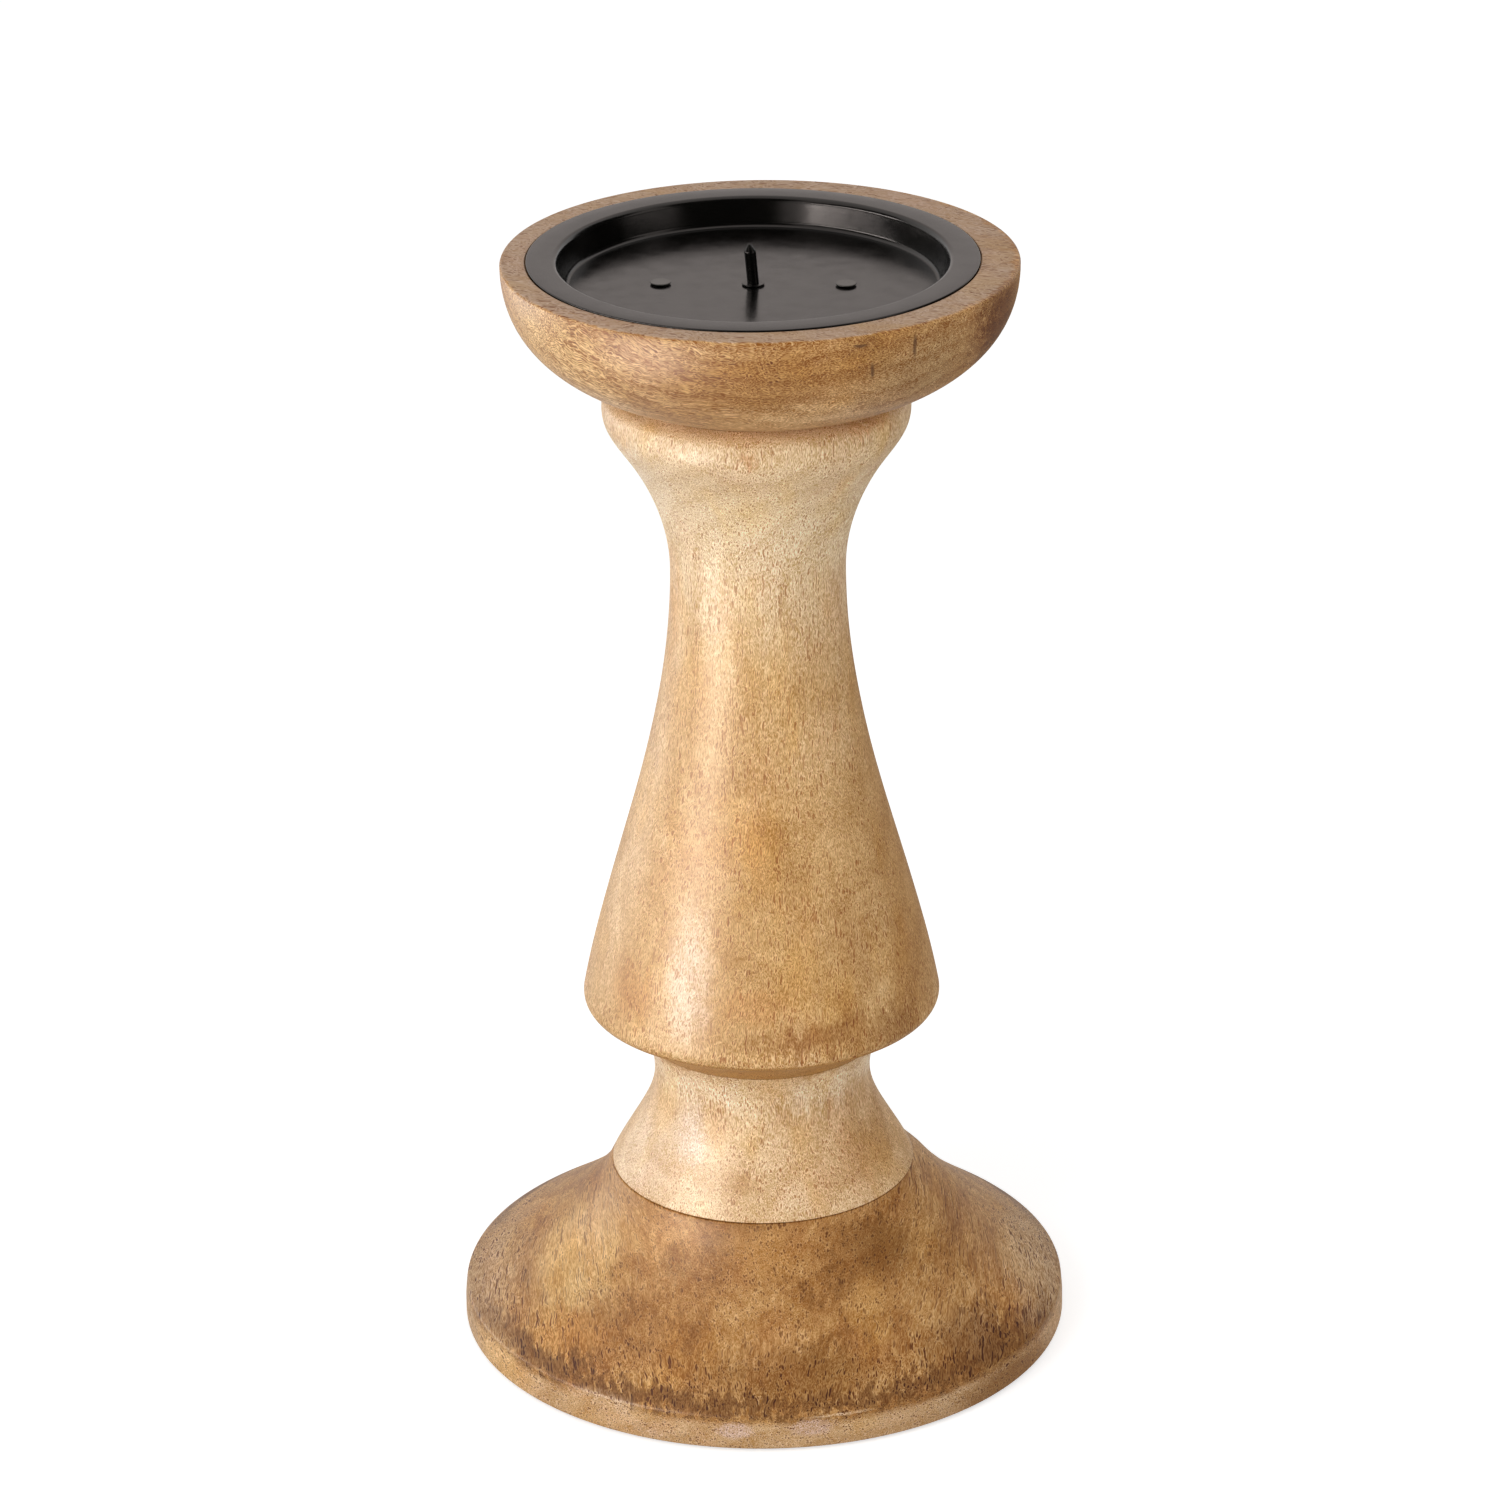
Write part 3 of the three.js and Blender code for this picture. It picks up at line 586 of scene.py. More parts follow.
def wood(
    name, turn, tones, wave, pith, ring, vessel, layers,
    crisp=(), bold=(), dull=(), cracks=(), shift=(0, 0, 0),
):
    """Lacquered, light-coloured hardwood with open vessels.

    turn (degrees) and shift set how the piece lay in the log, with fibres along Z and its heart at
    pith. tones run from the darkest to the palest. layers are areas of another colour with an edge
    torn along the fibres, and crisp ones keep a plain edge. Most of them are the wood's own tones,
    and some are painted light and shade: painted highlights and paler sides towards the lamps,
    painted shade under the bell and the bowl and on sides away from the lamps, and painted sheen in
    part of the greyer zones. The "underside" crisp area is painted shade on surfaces that look
    steeply down. The figure is stronger in the bold areas, and the lacquer is worn matt in the dull
    ones.
    """
    look = Look(name)
    turn = [math.radians(degrees) for degrees in turn]
    place = millimetres(look)
    log = millimetres(look, turn, shift)
    fibres = tuple(Euler(turn).to_matrix().transposed() @ Vector((0, 0, 1)))

    # Slow and quick waves of the fibres
    bent = look.pushed(log, SLOW_WAVE, 2.0, 0.5, wave)
    grain = look.pushed(bent, QUICK_WAVE, 2.0, 0.6, vessel["wander"])

    # Cloudy tones, from honey to cream, with streaks along the fibres and a pinkish cast in places
    broad = look.noise(look.stretched(bent, (1, 1, 0.5)), BROAD_CLOUD, 3.0, 0.55)
    cloud = look.noise(look.stretched(bent, (1, 1, 0.6)), SMALL_CLOUD, 4.0, 0.65)
    streak = look.noise(look.stretched(grain, (1, 1, 0.08)), STREAK_WIDTH, 3.0, 0.6)
    tone = look.math("MULTIPLY_ADD", cloud, SMALL_CLOUD_SHARE, broad)
    tone = look.math("MULTIPLY_ADD", streak, vessel["streaks"], tone)
    middle_tone = (1 + SMALL_CLOUD_SHARE + vessel["streaks"]) / 2
    tone = look.line(tone, middle_tone - TONE_SPREAD, middle_tone + TONE_SPREAD)
    colour = look.ramp(tone, [(i / (len(tones) - 1), t) for i, t in enumerate(tones)])
    tear = look.line(streak, 0.3, 0.7, -vessel["tear"], vessel["tear"])
    torn = look.add("VectorMath", inputs={0: fibres, 3: tear}, operation="SCALE")
    torn = look.vector("ADD", torn, ragged(look, place, 8, 9))
    # Layers and crisp areas: the wood's own tones, and in places painted light and shade
    for shade, strength, spots in layers:
        area = look.times(spread(look, torn, spots), strength)
        colour = look.mix(area, colour, shade)
    for shade, strength, spots in crisp:
        # The "underside" area is painted shade on surfaces that look steeply down, under the bell
        if spots == "underside":
            area = under(look, place, UNDERSIDE_SHADE_LEVEL)
        else:
            area = spread(look, ragged(look, place, 3, 1.2), spots)
        colour = look.mix(look.times(area, strength), colour, shade)
    cast = look.noise(look.stretched(bent, (1, 1, 0.4)), CAST_PATCH, 2.0, 0.6, "Color")
    pinkish, yellowish, figure = look.split(cast)
    pinkish = look.step(pinkish, 0.5, 0.72, 0.0, PINKISH_CAST)
    colour = look.mix(pinkish, colour, (255, 236, 236), "MULTIPLY")
    yellowish = look.step(yellowish, 0.5, 0.72, 0.0, YELLOWISH_CAST)
    colour = look.mix(yellowish, colour, (255, 244, 206), "MULTIPLY")

    # Growth rings round the heart, and bands of shimmer across the fibres
    off = look.vector("SUBTRACT", bent, (pith[0], pith[1], 0))
    away = look.length(look.stretched(off, (1, 1, 0.02)))
    turned = look.math("MULTIPLY_ADD", broad, ring["width"] * 3, away)
    turned = look.math("FRACT", look.math("DIVIDE", turned, ring["width"]))
    late = look.times(look.step(turned, 0.1, 0.8), look.step(turned, 1.0, 0.8))
    shimmer = look.noise(look.stretched(bent, (0.35, 0.35, 1)), SHIMMER_BAND, 2.0, 0.5)

    # Fine fibres, pale and dark by turns, and the vessels between them
    drawn = look.stretched(grain, (1, 1, vessel["fineness"]))
    fibre = look.noise(drawn, vessel["fibre"], 1.0, 0.6)
    holes, halo = vessels(look, grain, vessel["spacing"], vessel["radius"], vessel["run"])
    bolder = spread(look, torn, bold)
    fleck = look.line(fibre, 0.3, 0.7, -0.5, 0.5)
    fleck = look.math("MULTIPLY_ADD", halo, HALO_SHARE, fleck)
    if bolder is not None:
        fleck = look.times(fleck, look.line(bolder, 0, 1, 1.0, BOLD_FLECK))
    fleck = look.math("MULTIPLY_ADD", shimmer, SHIMMER_SHARE, fleck)
    fleck = look.math("MULTIPLY_ADD", late, -ring["strength"], fleck)
    worn = spread(look, place, dull)
    if worn is not None:
        fleck = look.times(fleck, look.line(worn, 0, 1, 1.0, WORN_FLECK))
    fleck = look.math("ADD", fleck, 0.3)
    darker = tuple(1 - vessel["fleck"] * part for part in (0.9, 1.3, 2.0)) + (1,)
    paler = tuple(1 + vessel["fleck"] * part for part in (0.9, 1.3, 2.0)) + (1,)
    colour = look.vector("MULTIPLY", colour, look.mix(fleck, darker, paler))
    crowd = look.step(figure, 0.32, 0.58, 0.7, 1.0)
    depth = look.times(holes, look.times(crowd, vessel["strength"]))
    if bolder is not None:
        more = look.line(bolder, 0, 1, 1.0, BOLD_VESSELS)
        depth = look.math("MULTIPLY", depth, more, clamp=True)
    colour = look.mix(depth, colour, vessel["shade"], "MULTIPLY")
    shaken = ragged(look, place, 3, 1.1)
    gap = spread(look, shaken, [(*crack, CRACK_SOFTNESS) for crack in cracks])
    if gap is not None:
        colour = look.mix(look.times(gap, CRACK_STRENGTH), colour, CRACK_SHADE)
        holes = look.math("MAXIMUM", holes, gap)

    # Satin lacquer that dips into the open vessels
    normal = look.bump(look.noise(bent, 12, 2.0), 0.2, 0.4)
    relief = look.math("MULTIPLY_ADD", fibre, 0.5, look.times(holes, -1.0))
    normal = look.bump(relief, 0.5, 0.03, normal)
    rough = look.math("MULTIPLY_ADD", holes, 0.05, look.line(cloud, 0.3, 0.7, 0.42, 0.49))
    if worn is not None:
        rough = look.math("MULTIPLY_ADD", worn, 0.25, rough)
    look.surface(
        Base_Color=colour, Roughness=rough, Normal=normal, IOR=1.46, Specular_IOR_Level=vessel["gloss"]
    )
    return look.made


def black_paint(name, shade, roughness, speckle, gloss=0.5):
    """Satin black powder coat: a fine pebbled skin with a few specks of dust under it."""
    look = Look(name)
    place = millimetres(look)
    skin = look.noise(place, 0.8, 3.0, 0.6)
    wave = look.noise(place, 11, 2.0)
    normal = look.bump(wave, 0.10, 0.3)
    normal = look.bump(skin, 0.18, 0.06, normal)
    dust = look.noise(place, 1.9, 2.0, 0.7)
    dust = look.step(dust, 0.74, 0.80, 0.0, speckle)
    colour = look.mix(look.line(wave, 0.3, 0.7), shade, tuple(part * 1.4 for part in shade))
    colour = look.mix(dust, colour, (60, 56, 52))
    cloudy = look.noise(place, 5, 3.0)
    rough = look.line(cloudy, 0.3, 0.7, roughness - 0.04, roughness + 0.05)
    look.surface(
        Base_Color=colour, Roughness=rough, Normal=normal, IOR=1.47,
        Specular_IOR_Level=gloss, Specular_Tint=WARM_GLOSS,
    )
    return look.made


def zinc_plate(name):
    """Bright zinc plate with a faint brushed grain and cloudy patches."""
    look = Look(name)
    place = millimetres(look)
    cloud = look.noise(place, 4, 3.0)
    scratch = look.noise(look.stretched(place, (1, 0.08, 1)), 0.3, 2.0)
    colour = look.mix(cloud, (186, 188, 186), (206, 206, 198))
    rough = look.line(cloud, 0.3, 0.7, 0.26, 0.42)
    normal = look.bump(scratch, 0.12, 0.05)
    look.surface(Base_Color=colour, Roughness=rough, Normal=normal, Metallic=1.0)
    return look.made


def felt(name):
    """Pressed brown felt with matted fibres."""
    look = Look(name)
    place = millimetres(look)
    mat = look.noise(place, 0.5, 4.0, 0.7)
    clump = look.noise(place, 2.2, 3.0)
    colour = look.mix(look.line(mat, 0.3, 0.7), (58, 44, 33), (96, 78, 60))
    colour = look.mix(look.line(clump, 0.4, 0.7, 0.0, 0.5), colour, (74, 58, 45))
    normal = look.bump(mat, 0.8, 0.3)
    look.surface(Base_Color=colour, Roughness=0.95, Normal=normal, Sheen_Weight=0.4)
    return look.made


WARM_GLOSS = (1, 0.89, 0.83, 1)
FINE_VESSELS = dict(
    spacing=0.6, radius=0.26, run=1.8, strength=0.95, shade=(192, 154, 112), wander=1.7,
    fibre=0.19, fleck=0.4, fineness=0.16, streaks=0.35, tear=3, gloss=0.5,
)
BOWL_RIM = (59, 290.8, 6, 0.9, 0.3)

foot_wood = wood(
    "foot_wood",
    turn=(77, 0, 5),
    tones=[(150, 102, 52), (178, 126, 70), (196, 148, 90), (214, 168, 112)],
    wave=8,
    pith=(14, 40),
    ring=dict(width=7, strength=0.2),
    vessel=dict(
        FINE_VESSELS, spacing=0.72, run=7, shade=(136, 96, 46),
        strength=0.8, fibre=0.24, fleck=0.36, fineness=0.1, streaks=0.7, tear=5, gloss=0.28,
    ),
    layers=[
        ((238, 196, 132), 0.75, [((-50, -26, 28), (20, 34, 20))]),
        ((220, 174, 108), 0.7, [((-55, -42, 17), (7, 14, 12))]),
        ((210, 160, 94), 0.5, [((27, -50, 25), (9, 16, 12))]),
        ((140, 94, 42), 0.65, [((30, -36, 36), (18, 14, 12)), ((-23, -41, 35), (7, 8, 6))]),
        ((206, 154, 92), 0.7, [((-1, -44, 38), (16, 10, 8))]),
        ((192, 134, 70), 0.75, [((-52, -46, 17), (20, 14, 10))]),
        ((142, 96, 44), 0.75, [((8, -66, 16), (36, 14, 8))]),
        ((118, 72, 30), 0.75, [((52, -46, 14), (26, 20, 9))]),
        ((122, 78, 34), 0.9, [(76, 11, 5.6, 5.6)]),
        # Greyish tan on the far left and right flanks: partly the wood's own tone, partly painted sheen
        ((196, 158, 114), 0.85, [((74, 2, 16), (18, 54, 16)), ((-74, 2, 16), (18, 54, 16))]),
    ],
    crisp=[
        ((212, 174, 130), 0.85, [(80, 2, 3.2, 7.6, 0.25)]),
        ((234, 188, 126), 0.8, [((-68, -40, 5), (16, 26, 8))]),
        # A pale line along the band's upper edge at the front and left: partly wear, partly painted
        # highlight
        ((228, 192, 152), 0.75, [((-40, -64, 8.6), (18, 16, 2.4)), ((20, -76, 9.2), (16, 4, 0.6))]),
        ((218, 184, 162), 0.75, [((-8, -78, 6), (6, 3, 2.8), 0.5), ((12, -78, 6.4), (7.5, 3, 2.8), 0.5)]),
        ((142, 92, 26), 0.85, [((62, -46, 3), (28, 34, 8))]),
        ((220, 184, 152), 0.65, [((-36, -70, 4), (16, 12, 5))]),
    ],
    bold=[(73, 13, 11, 14), ((72, 0, 16), (14, 50, 20)), ((-72, 0, 16), (14, 50, 20))],
    cracks=[((-33.9, -70, 9.5), (0.5, 2, 3))],
)
neck_wood = wood(
    "neck_wood",
    turn=(3, 2, 0),
    shift=(0, 0, 20),
    tones=[(212, 168, 112), (226, 186, 136), (236, 200, 152), (246, 214, 172)],
    wave=6,
    pith=(-6, -16),
    ring=dict(width=6, strength=0.15),
    vessel=FINE_VESSELS,
    layers=[
        ((198, 148, 86), 0.65, [((30, -16, 57), (15, 16, 11)), ((-4, -33, 54), (6, 6, 4))]),
        ((220, 170, 108), 0.5, [((-26, -14, 63), (8, 9, 6))]),
        # Paler on the left, the lamps' side: painted light
        ((250, 226, 192), 0.6, [((-40, -22, 62), (26, 30, 30))]),
        ((255, 230, 192), 0.9, [(30, 75, 6, 7)]),
        ((232, 182, 112), 0.6, [((3, -30, 76), (10, 6, 7))]),
        # A whitish streak on the left front where the gloss falls: painted highlight
        ((244, 222, 202), 0.5, [((-18, -24, 63), (7, 9, 14))]),
        # A darker golden band round the neck's top, just under the bell's lip: painted shade
        ((200, 150, 84), 0.7, [(31.5, 82.3, 3, 2.6)]),
    ],
)
stem_wood = wood(
    "stem_wood",
    turn=(2, -2, 0),
    tones=[(192, 142, 80), (210, 164, 104), (222, 178, 120), (230, 190, 138)],
    wave=6,
    pith=(1, -13.7),
    ring=dict(width=5, strength=0.13),
    vessel=FINE_VESSELS,
    layers=[
        ((254, 228, 188), 0.95, [((0, 0, 240), (72, 72, 66))]),
        # Paler on the flare's left, the lamps' side: painted light
        ((255, 234, 206), 0.7, [((-40, -22, 236), (28, 30, 30))]),
        # Darker over the whole right side, away from the lamps: painted shade
        ((194, 140, 74), 0.65, [((44, -4, 150), (32, 44, 84))]),
        ((226, 172, 98), 0.5, [((-5, -31, 150), (9, 8, 16)), ((-22, -9, 198), (5, 6, 30))]),
        ((206, 148, 84), 0.6, [((-33, -28, 105), (12, 12, 12)), ((-2, -42, 107), (12, 8, 7))]),
        ((184, 130, 68), 0.6, [((38, -20, 106), (12, 18, 24))]),
        ((168, 114, 54), 0.8, [((14, -42, 98), (28, 14, 6))]),
        ((158, 106, 50), 0.6, [((34, -30, 96), (14, 14, 7))]),
        ((218, 178, 124), 0.6, [((12, -42, 105), (9, 7, 6))]),
        ((182, 132, 74), 0.5, [((26, -32, 122), (12, 10, 18))]),
        # A reddish zone on the collar's top just under the bowl, mostly on the right: painted shade of
        # the bowl
        ((210, 150, 92), 0.6, [((28, -26, 256), (12, 10, 4)), ((-2, -38, 251), (3, 3, 3))]),
        ((222, 172, 104), 0.5, [((-34, -18, 253), (12, 18, 8))]),
        # A whitish streak on the bell's left front where the gloss falls: painted highlight
        ((234, 206, 180), 0.5, [((-18, -36, 112), (8, 12, 28))]),
    ],
    crisp=[
        # Painted shade: surfaces under the bell that look steeply down, and a thin dark line along the
        # lip's lower edge
        ((188, 138, 74), 0.8, "underside"),
        ((104, 66, 32), 0.8, [(44.5, 90.3, 0.6, 0.5, 0.5)]),
    ],
    bold=[(44, 92, 6, 7)],
)
bowl_wood = wood(
    "bowl_wood",
    turn=(60, 64, 14),
    tones=[(166, 116, 54), (184, 134, 74), (200, 152, 94), (212, 168, 112)],
    wave=20,
    pith=(30, 22),
    ring=dict(width=6, strength=0.2),
    vessel=dict(
        FINE_VESSELS, spacing=0.75, radius=0.27, run=3.4, shade=(172, 134, 88), wander=2.8,
        fibre=0.3, fleck=0.55, fineness=0.1, streaks=0.5, tear=5,
    ),
    layers=[
        ((218, 174, 112), 0.75, [((-50, -34, 278), (32, 36, 22))]),
        ((172, 120, 56), 0.75, [((-2, -60, 281), (24, 14, 12))]),
        ((186, 148, 98), 0.7, [((38, -46, 276), (26, 20, 18))]),
        # Darkest at the far right edge, away from the lamps: painted shade
        ((112, 60, 16), 0.85, [((60, -26, 281), (14, 26, 20))]),
        ((226, 184, 128), 0.7, [((8, -52, 268), (28, 16, 9)), ((-38, -38, 266), (16, 16, 9))]),
    ],
    # The rim's flat top is greyer and paler: partly the bare rim's own colour, partly painted sheen
    crisp=[((200, 173, 148), 0.9, [BOWL_RIM])],
    bold=[((-46, -34, 276), (26, 32, 20))],
    dull=[BOWL_RIM],
    cracks=[
        ((37.6, -52, 285.4), (0.6, 3, 4.4)),
        ((24.6, -59.2, 288), (2.6, 3, 0.6)),
        ((27.4, -56.8, 281), (0.6, 3, 3.4)),
    ],
)
black_steel = black_paint("black_steel", (5, 5, 4), 0.2, 0.25)
spike_steel = black_paint("spike_steel", (4, 4, 3), 0.24, 0.1, 0.4)
# The heads are black like the plate; their grey shade here is painted sheen for the light their flat tops
# catch
tack_steel = black_paint("tack_steel", (50, 49, 45), 0.2, 0.2)
zinc_steel = zinc_plate("zinc_steel")
brown_felt = felt("brown_felt")


# Wooden pieces

def make_foot():
    radius = reach("foot")
    low, high = ends("foot")
    edge_centre = (radius - FOOT_EDGE_RADIUS, low + FOOT_EDGE_RADIUS)
    band_middle = (radius, low + FOOT_BAND_HEIGHT / 2)
    band_top = (radius - FOOT_BAND_TAPER, low + FOOT_BAND_HEIGHT)
    seam = (SEAM_RADIUS, high)
    slope = sweep(band_top, seam, **FOOT_SLOPE)
    socket = NECK_SPIGOT_RADIUS + FIT_GAP
    socket_floor = high - NECK_SPIGOT_LENGTH
    bore_top = low + FOOT_COUNTERBORE_DEPTH
    outline = [(FOOT_COUNTERBORE_RADIUS, low), (radius / 2, low)]
    outline += arc(edge_centre, FOOT_EDGE_RADIUS, -90, 0)
    outline += [band_middle]
    outline += eased(band_middle, band_top, slope[1], FOOT_BAND_EASE)
    outline += slope[1:-1]
    outline += eased(slope[-2], seam, (socket, high), SEAM_EASE, 3)
    outline += [
        (socket, high),
        (socket, socket_floor),
        (SCREW_HOLE_RADIUS, socket_floor),
        (SCREW_HOLE_RADIUS, bore_top),
        (FOOT_COUNTERBORE_RADIUS, bore_top),
    ]
    shape = bmesh.new()
    verts = spun(shape, outline)
    handmade(verts, low + WOBBLE_MARGIN, high - SEAM_MARGIN, seed=3, outward=False)
    for v in verts:
        if math.hypot(v.co.x, v.co.y) > SEAM_RADIUS - 1:
            rising = (v.co.z - band_top[1]) / FOOT_SLOPE_SHIFT_RISE
            fading = (high - SEAM_MARGIN - v.co.z) / FOOT_SLOPE_SHIFT_FADE
            v.co.x += FOOT_SLOPE_SHIFT * min(1, max(0, rising)) * min(1, max(0, fading))
    piece = finished("turned_foot", shape, foot_wood, "foot", slot="foot_wood")
    recesses = []
    for pad in PADS:
        top = ends(pad)[1] + SEAT_GAP
        recesses.append(drill(middle(pad), PAD_HOLE_START, top, reach(pad) + FIT_GAP))
    carved(piece, recesses)


def make_neck():
    low = ends("foot")[1] + SEAT_GAP
    waist = (NECK_WAIST_RADIUS, low + NECK_RISE)
    top = waist[1] + NECK_COVE_HEIGHT
    seam = (SEAM_RADIUS, low)
    rise = sweep(seam, waist, **NECK_SWEEP)
    cove = sweep(waist, (NECK_TOP_RADIUS, top), **NECK_COVE)
    socket = STEM_SPIGOT_RADIUS + FIT_GAP
    outline = [
        (SCREW_HOLE_RADIUS, low - NECK_SPIGOT_LENGTH),
        (NECK_SPIGOT_RADIUS, low - NECK_SPIGOT_LENGTH),
        (NECK_SPIGOT_RADIUS, low),
    ]
    outline += eased((NECK_SPIGOT_RADIUS, low), seam, rise[1], SEAM_EASE, 3)
    outline += rise[1:] + cove[1:]
    outline += [
        (socket, top),
        (socket, top - STEM_FOOT_SPIGOT),
        (SCREW_HOLE_RADIUS, top - STEM_FOOT_SPIGOT),
    ]
    shape = bmesh.new()
    handmade(spun(shape, outline), low + SEAM_MARGIN, top, seed=7)
    finished("turned_neck", shape, neck_wood, "neck", slot="neck_wood")


def make_stem():
    low = ends("stem")[0] + STEM_FOOT_SPIGOT
    top = ends("bowl")[0] - SEAT_GAP
    lip_edge = (BELL_RADIUS - BELL_LIP_INSET, low + BELL_UNDERCUT)
    bell = (BELL_RADIUS, lip_edge[1] + BELL_LIP_HEIGHT)
    waist = (SHAFT_WAIST_RADIUS, bell[1] + SHAFT_HEIGHT)
    flare_top = (FLARE_TOP_RADIUS, waist[1] + FLARE_HEIGHT)
    roll = (COLLAR_RADIUS, flare_top[1] + COLLAR_ROLL_HEIGHT)
    shoulder = (COLLAR_SEAT_RADIUS, ends("bowl")[0] + COLLAR_SEAT_RISE)
    underside = sweep((NECK_TOP_RADIUS, low), lip_edge, **BELL_UNDERSIDE)
    lip = sweep(lip_edge, bell, **BELL_LIP)
    outline = [
        (0, low + LOWER_HOLE_DEPTH),
        (SCREW_HOLE_RADIUS, low + LOWER_HOLE_DEPTH),
        (SCREW_HOLE_RADIUS, low - STEM_FOOT_SPIGOT),
        (STEM_SPIGOT_RADIUS, low - STEM_FOOT_SPIGOT),
        (STEM_SPIGOT_RADIUS, low),
    ]
    outline += underside[:-1]
    outline += eased(underside[-2], lip_edge, lip[1], BELL_LIP_EASE, 3)
    outline += lip[1:]
    outline += sweep(bell, waist, **SHAFT_SWEEP)[1:]
    outline += sweep(waist, flare_top, **FLARE_SWEEP)[1:]
    outline += sweep(flare_top, roll, **COLLAR_ROLL)[1:]
    outline += sweep(roll, shoulder, **COLLAR_SHOULDER)[1:]
    spigot_top = top + STEM_BOWL_SPIGOT
    outline += [
        (BOWL_UNDERSIDE_RADIUS, top),
        (STEM_SPIGOT_RADIUS, top),
        (STEM_SPIGOT_RADIUS, spigot_top),
        (SCREW_HOLE_RADIUS, spigot_top),
        (SCREW_HOLE_RADIUS, top - UPPER_HOLE_DEPTH),
        (0, top - UPPER_HOLE_DEPTH),
    ]
    shape = bmesh.new()
    handmade(spun(shape, outline, closed=False), low + WOBBLE_MARGIN, top, seed=11)
    finished("turned_stem", shape, stem_wood, "stem", slot="stem_wood")


def make_bowl():
    low, high = ends("bowl")
    radius = reach("bowl")
    bowl_x = middle("bowl").x
    plate_x = middle("candle_plate").x
    plate_low, plate_high = ends("candle_plate")
    rebate = reach("candle_plate") + FIT_GAP
    rebate_floor = plate_high - PLATE_SHEET - SEAT_GAP
    pan_hole = PLATE_FLOOR_RADIUS + PLATE_WALL_LEAN + PLATE_LIP_RADIUS
    cavity_floor = plate_low - SEAT_GAP
    washer_seat = ends("bowl_washer")[0] - SEAT_GAP
    socket = STEM_SPIGOT_RADIUS + FIT_GAP
    socket_top = low + STEM_BOWL_SPIGOT
    edge_centre = (radius - BOWL_EDGE_RADIUS, high - BOWL_EDGE_RADIUS)
    side_top = (radius, high - BOWL_EDGE_RADIUS)
    rim = (rebate + BOWL_RIM_FLAT, high)
    outside = [(socket, low), (BOWL_UNDERSIDE_RADIUS, low)]
    outside += sweep((BOWL_UNDERSIDE_RADIUS, low), side_top, **BOWL_SIDE)[1:]
    outside += arc(edge_centre, BOWL_EDGE_RADIUS, 0, 90)[1:]
    outside += [rim]
    recess = eased(rim, (rebate, high), (rebate, rebate_floor), BOWL_RIM_EASE, 3)
    recess += [
        (rebate, rebate_floor),
        (pan_hole, rebate_floor),
        (pan_hole, cavity_floor),
        (BOWL_FLOOR_INNER_RADIUS, cavity_floor),
    ]
    bore = [
        (BOWL_BORE_RADIUS, cavity_floor),
        (BOWL_BORE_RADIUS, washer_seat),
        (SCREW_HOLE_RADIUS, washer_seat),
        (SCREW_HOLE_RADIUS, socket_top),
        (socket, socket_top),
    ]
    shape = bmesh.new()
    verts = spun(shape, outside + recess + bore)
    handmade(verts, low + WOBBLE_MARGIN, high - BOWL_RIM_MARGIN, seed=17)
    for v in verts:
        away = math.hypot(v.co.x, v.co.y)
        beside_bore = away > 1.5 * BOWL_BORE_RADIUS
        if beside_bore and away < rebate + 1 and v.co.z > cavity_floor - 0.1:
            v.co.x += plate_x
        elif away > BOWL_FLOOR_INNER_RADIUS:
            v.co.x += bowl_x
    finished("turned_bowl", shape, bowl_wood, "bowl", slot="bowl_wood")


# Metal pieces and felt pads

def make_plate():
    centre = middle("candle_plate")
    top = ends("candle_plate")[1]
    floor = top - PLATE_DEPTH
    flange = reach("candle_plate")
    corner = (PLATE_FLOOR_RADIUS - PLATE_CORNER_RADIUS, floor + PLATE_CORNER_RADIUS)
    lip = (PLATE_FLOOR_RADIUS + PLATE_WALL_LEAN + PLATE_LIP_RADIUS, top - PLATE_LIP_RADIUS)
    inset = (flange - FLANGE_INSET, top - PLATE_SHEET)
    lower_edge = (flange, top - PLATE_SHEET)
    upper_edge = (flange, top)
    flat = (flange - FLANGE_FLAT, top)
    outline = [(ring, floor - PLATE_SHEET) for ring in PLATE_UNDERSIDE_RINGS]
    outline += arc(corner, PLATE_CORNER_RADIUS + PLATE_SHEET, -90, 0, 10)
    outline += arc(lip, PLATE_LIP_RADIUS - PLATE_SHEET, 180, 90, 6)
    outline += [inset]
    outline += eased(inset, lower_edge, upper_edge, FLANGE_LOWER_EASE, 3)
    outline += eased(lower_edge, upper_edge, flat, FLANGE_UPPER_EASE, 4)
    outline += [flat]
    outline += arc(lip, PLATE_LIP_RADIUS, 90, 180, 10)
    outline += arc(corner, PLATE_CORNER_RADIUS, 0, -90, 12)
    outline += [(ring, floor) for ring in PLATE_FLOOR_RINGS]
    shape = bmesh.new()
    spun(shape, outline, closed=False, centre=centre)
    piece = finished("pressed_plate", shape, black_steel, "candle_plate", slot="black_steel")
    below, above = floor - 3, floor + 1
    holes = [drill(centre, below, above, SPIKE_TAIL_RADIUS + FIT_GAP, PLATE_HOLE_SIDES)]
    for tack in TACKS:
        holes.append(drill(middle(tack), below, above, TACK_SHANK_RADIUS + FIT_GAP, PLATE_HOLE_SIDES))
    carved(piece, holes)


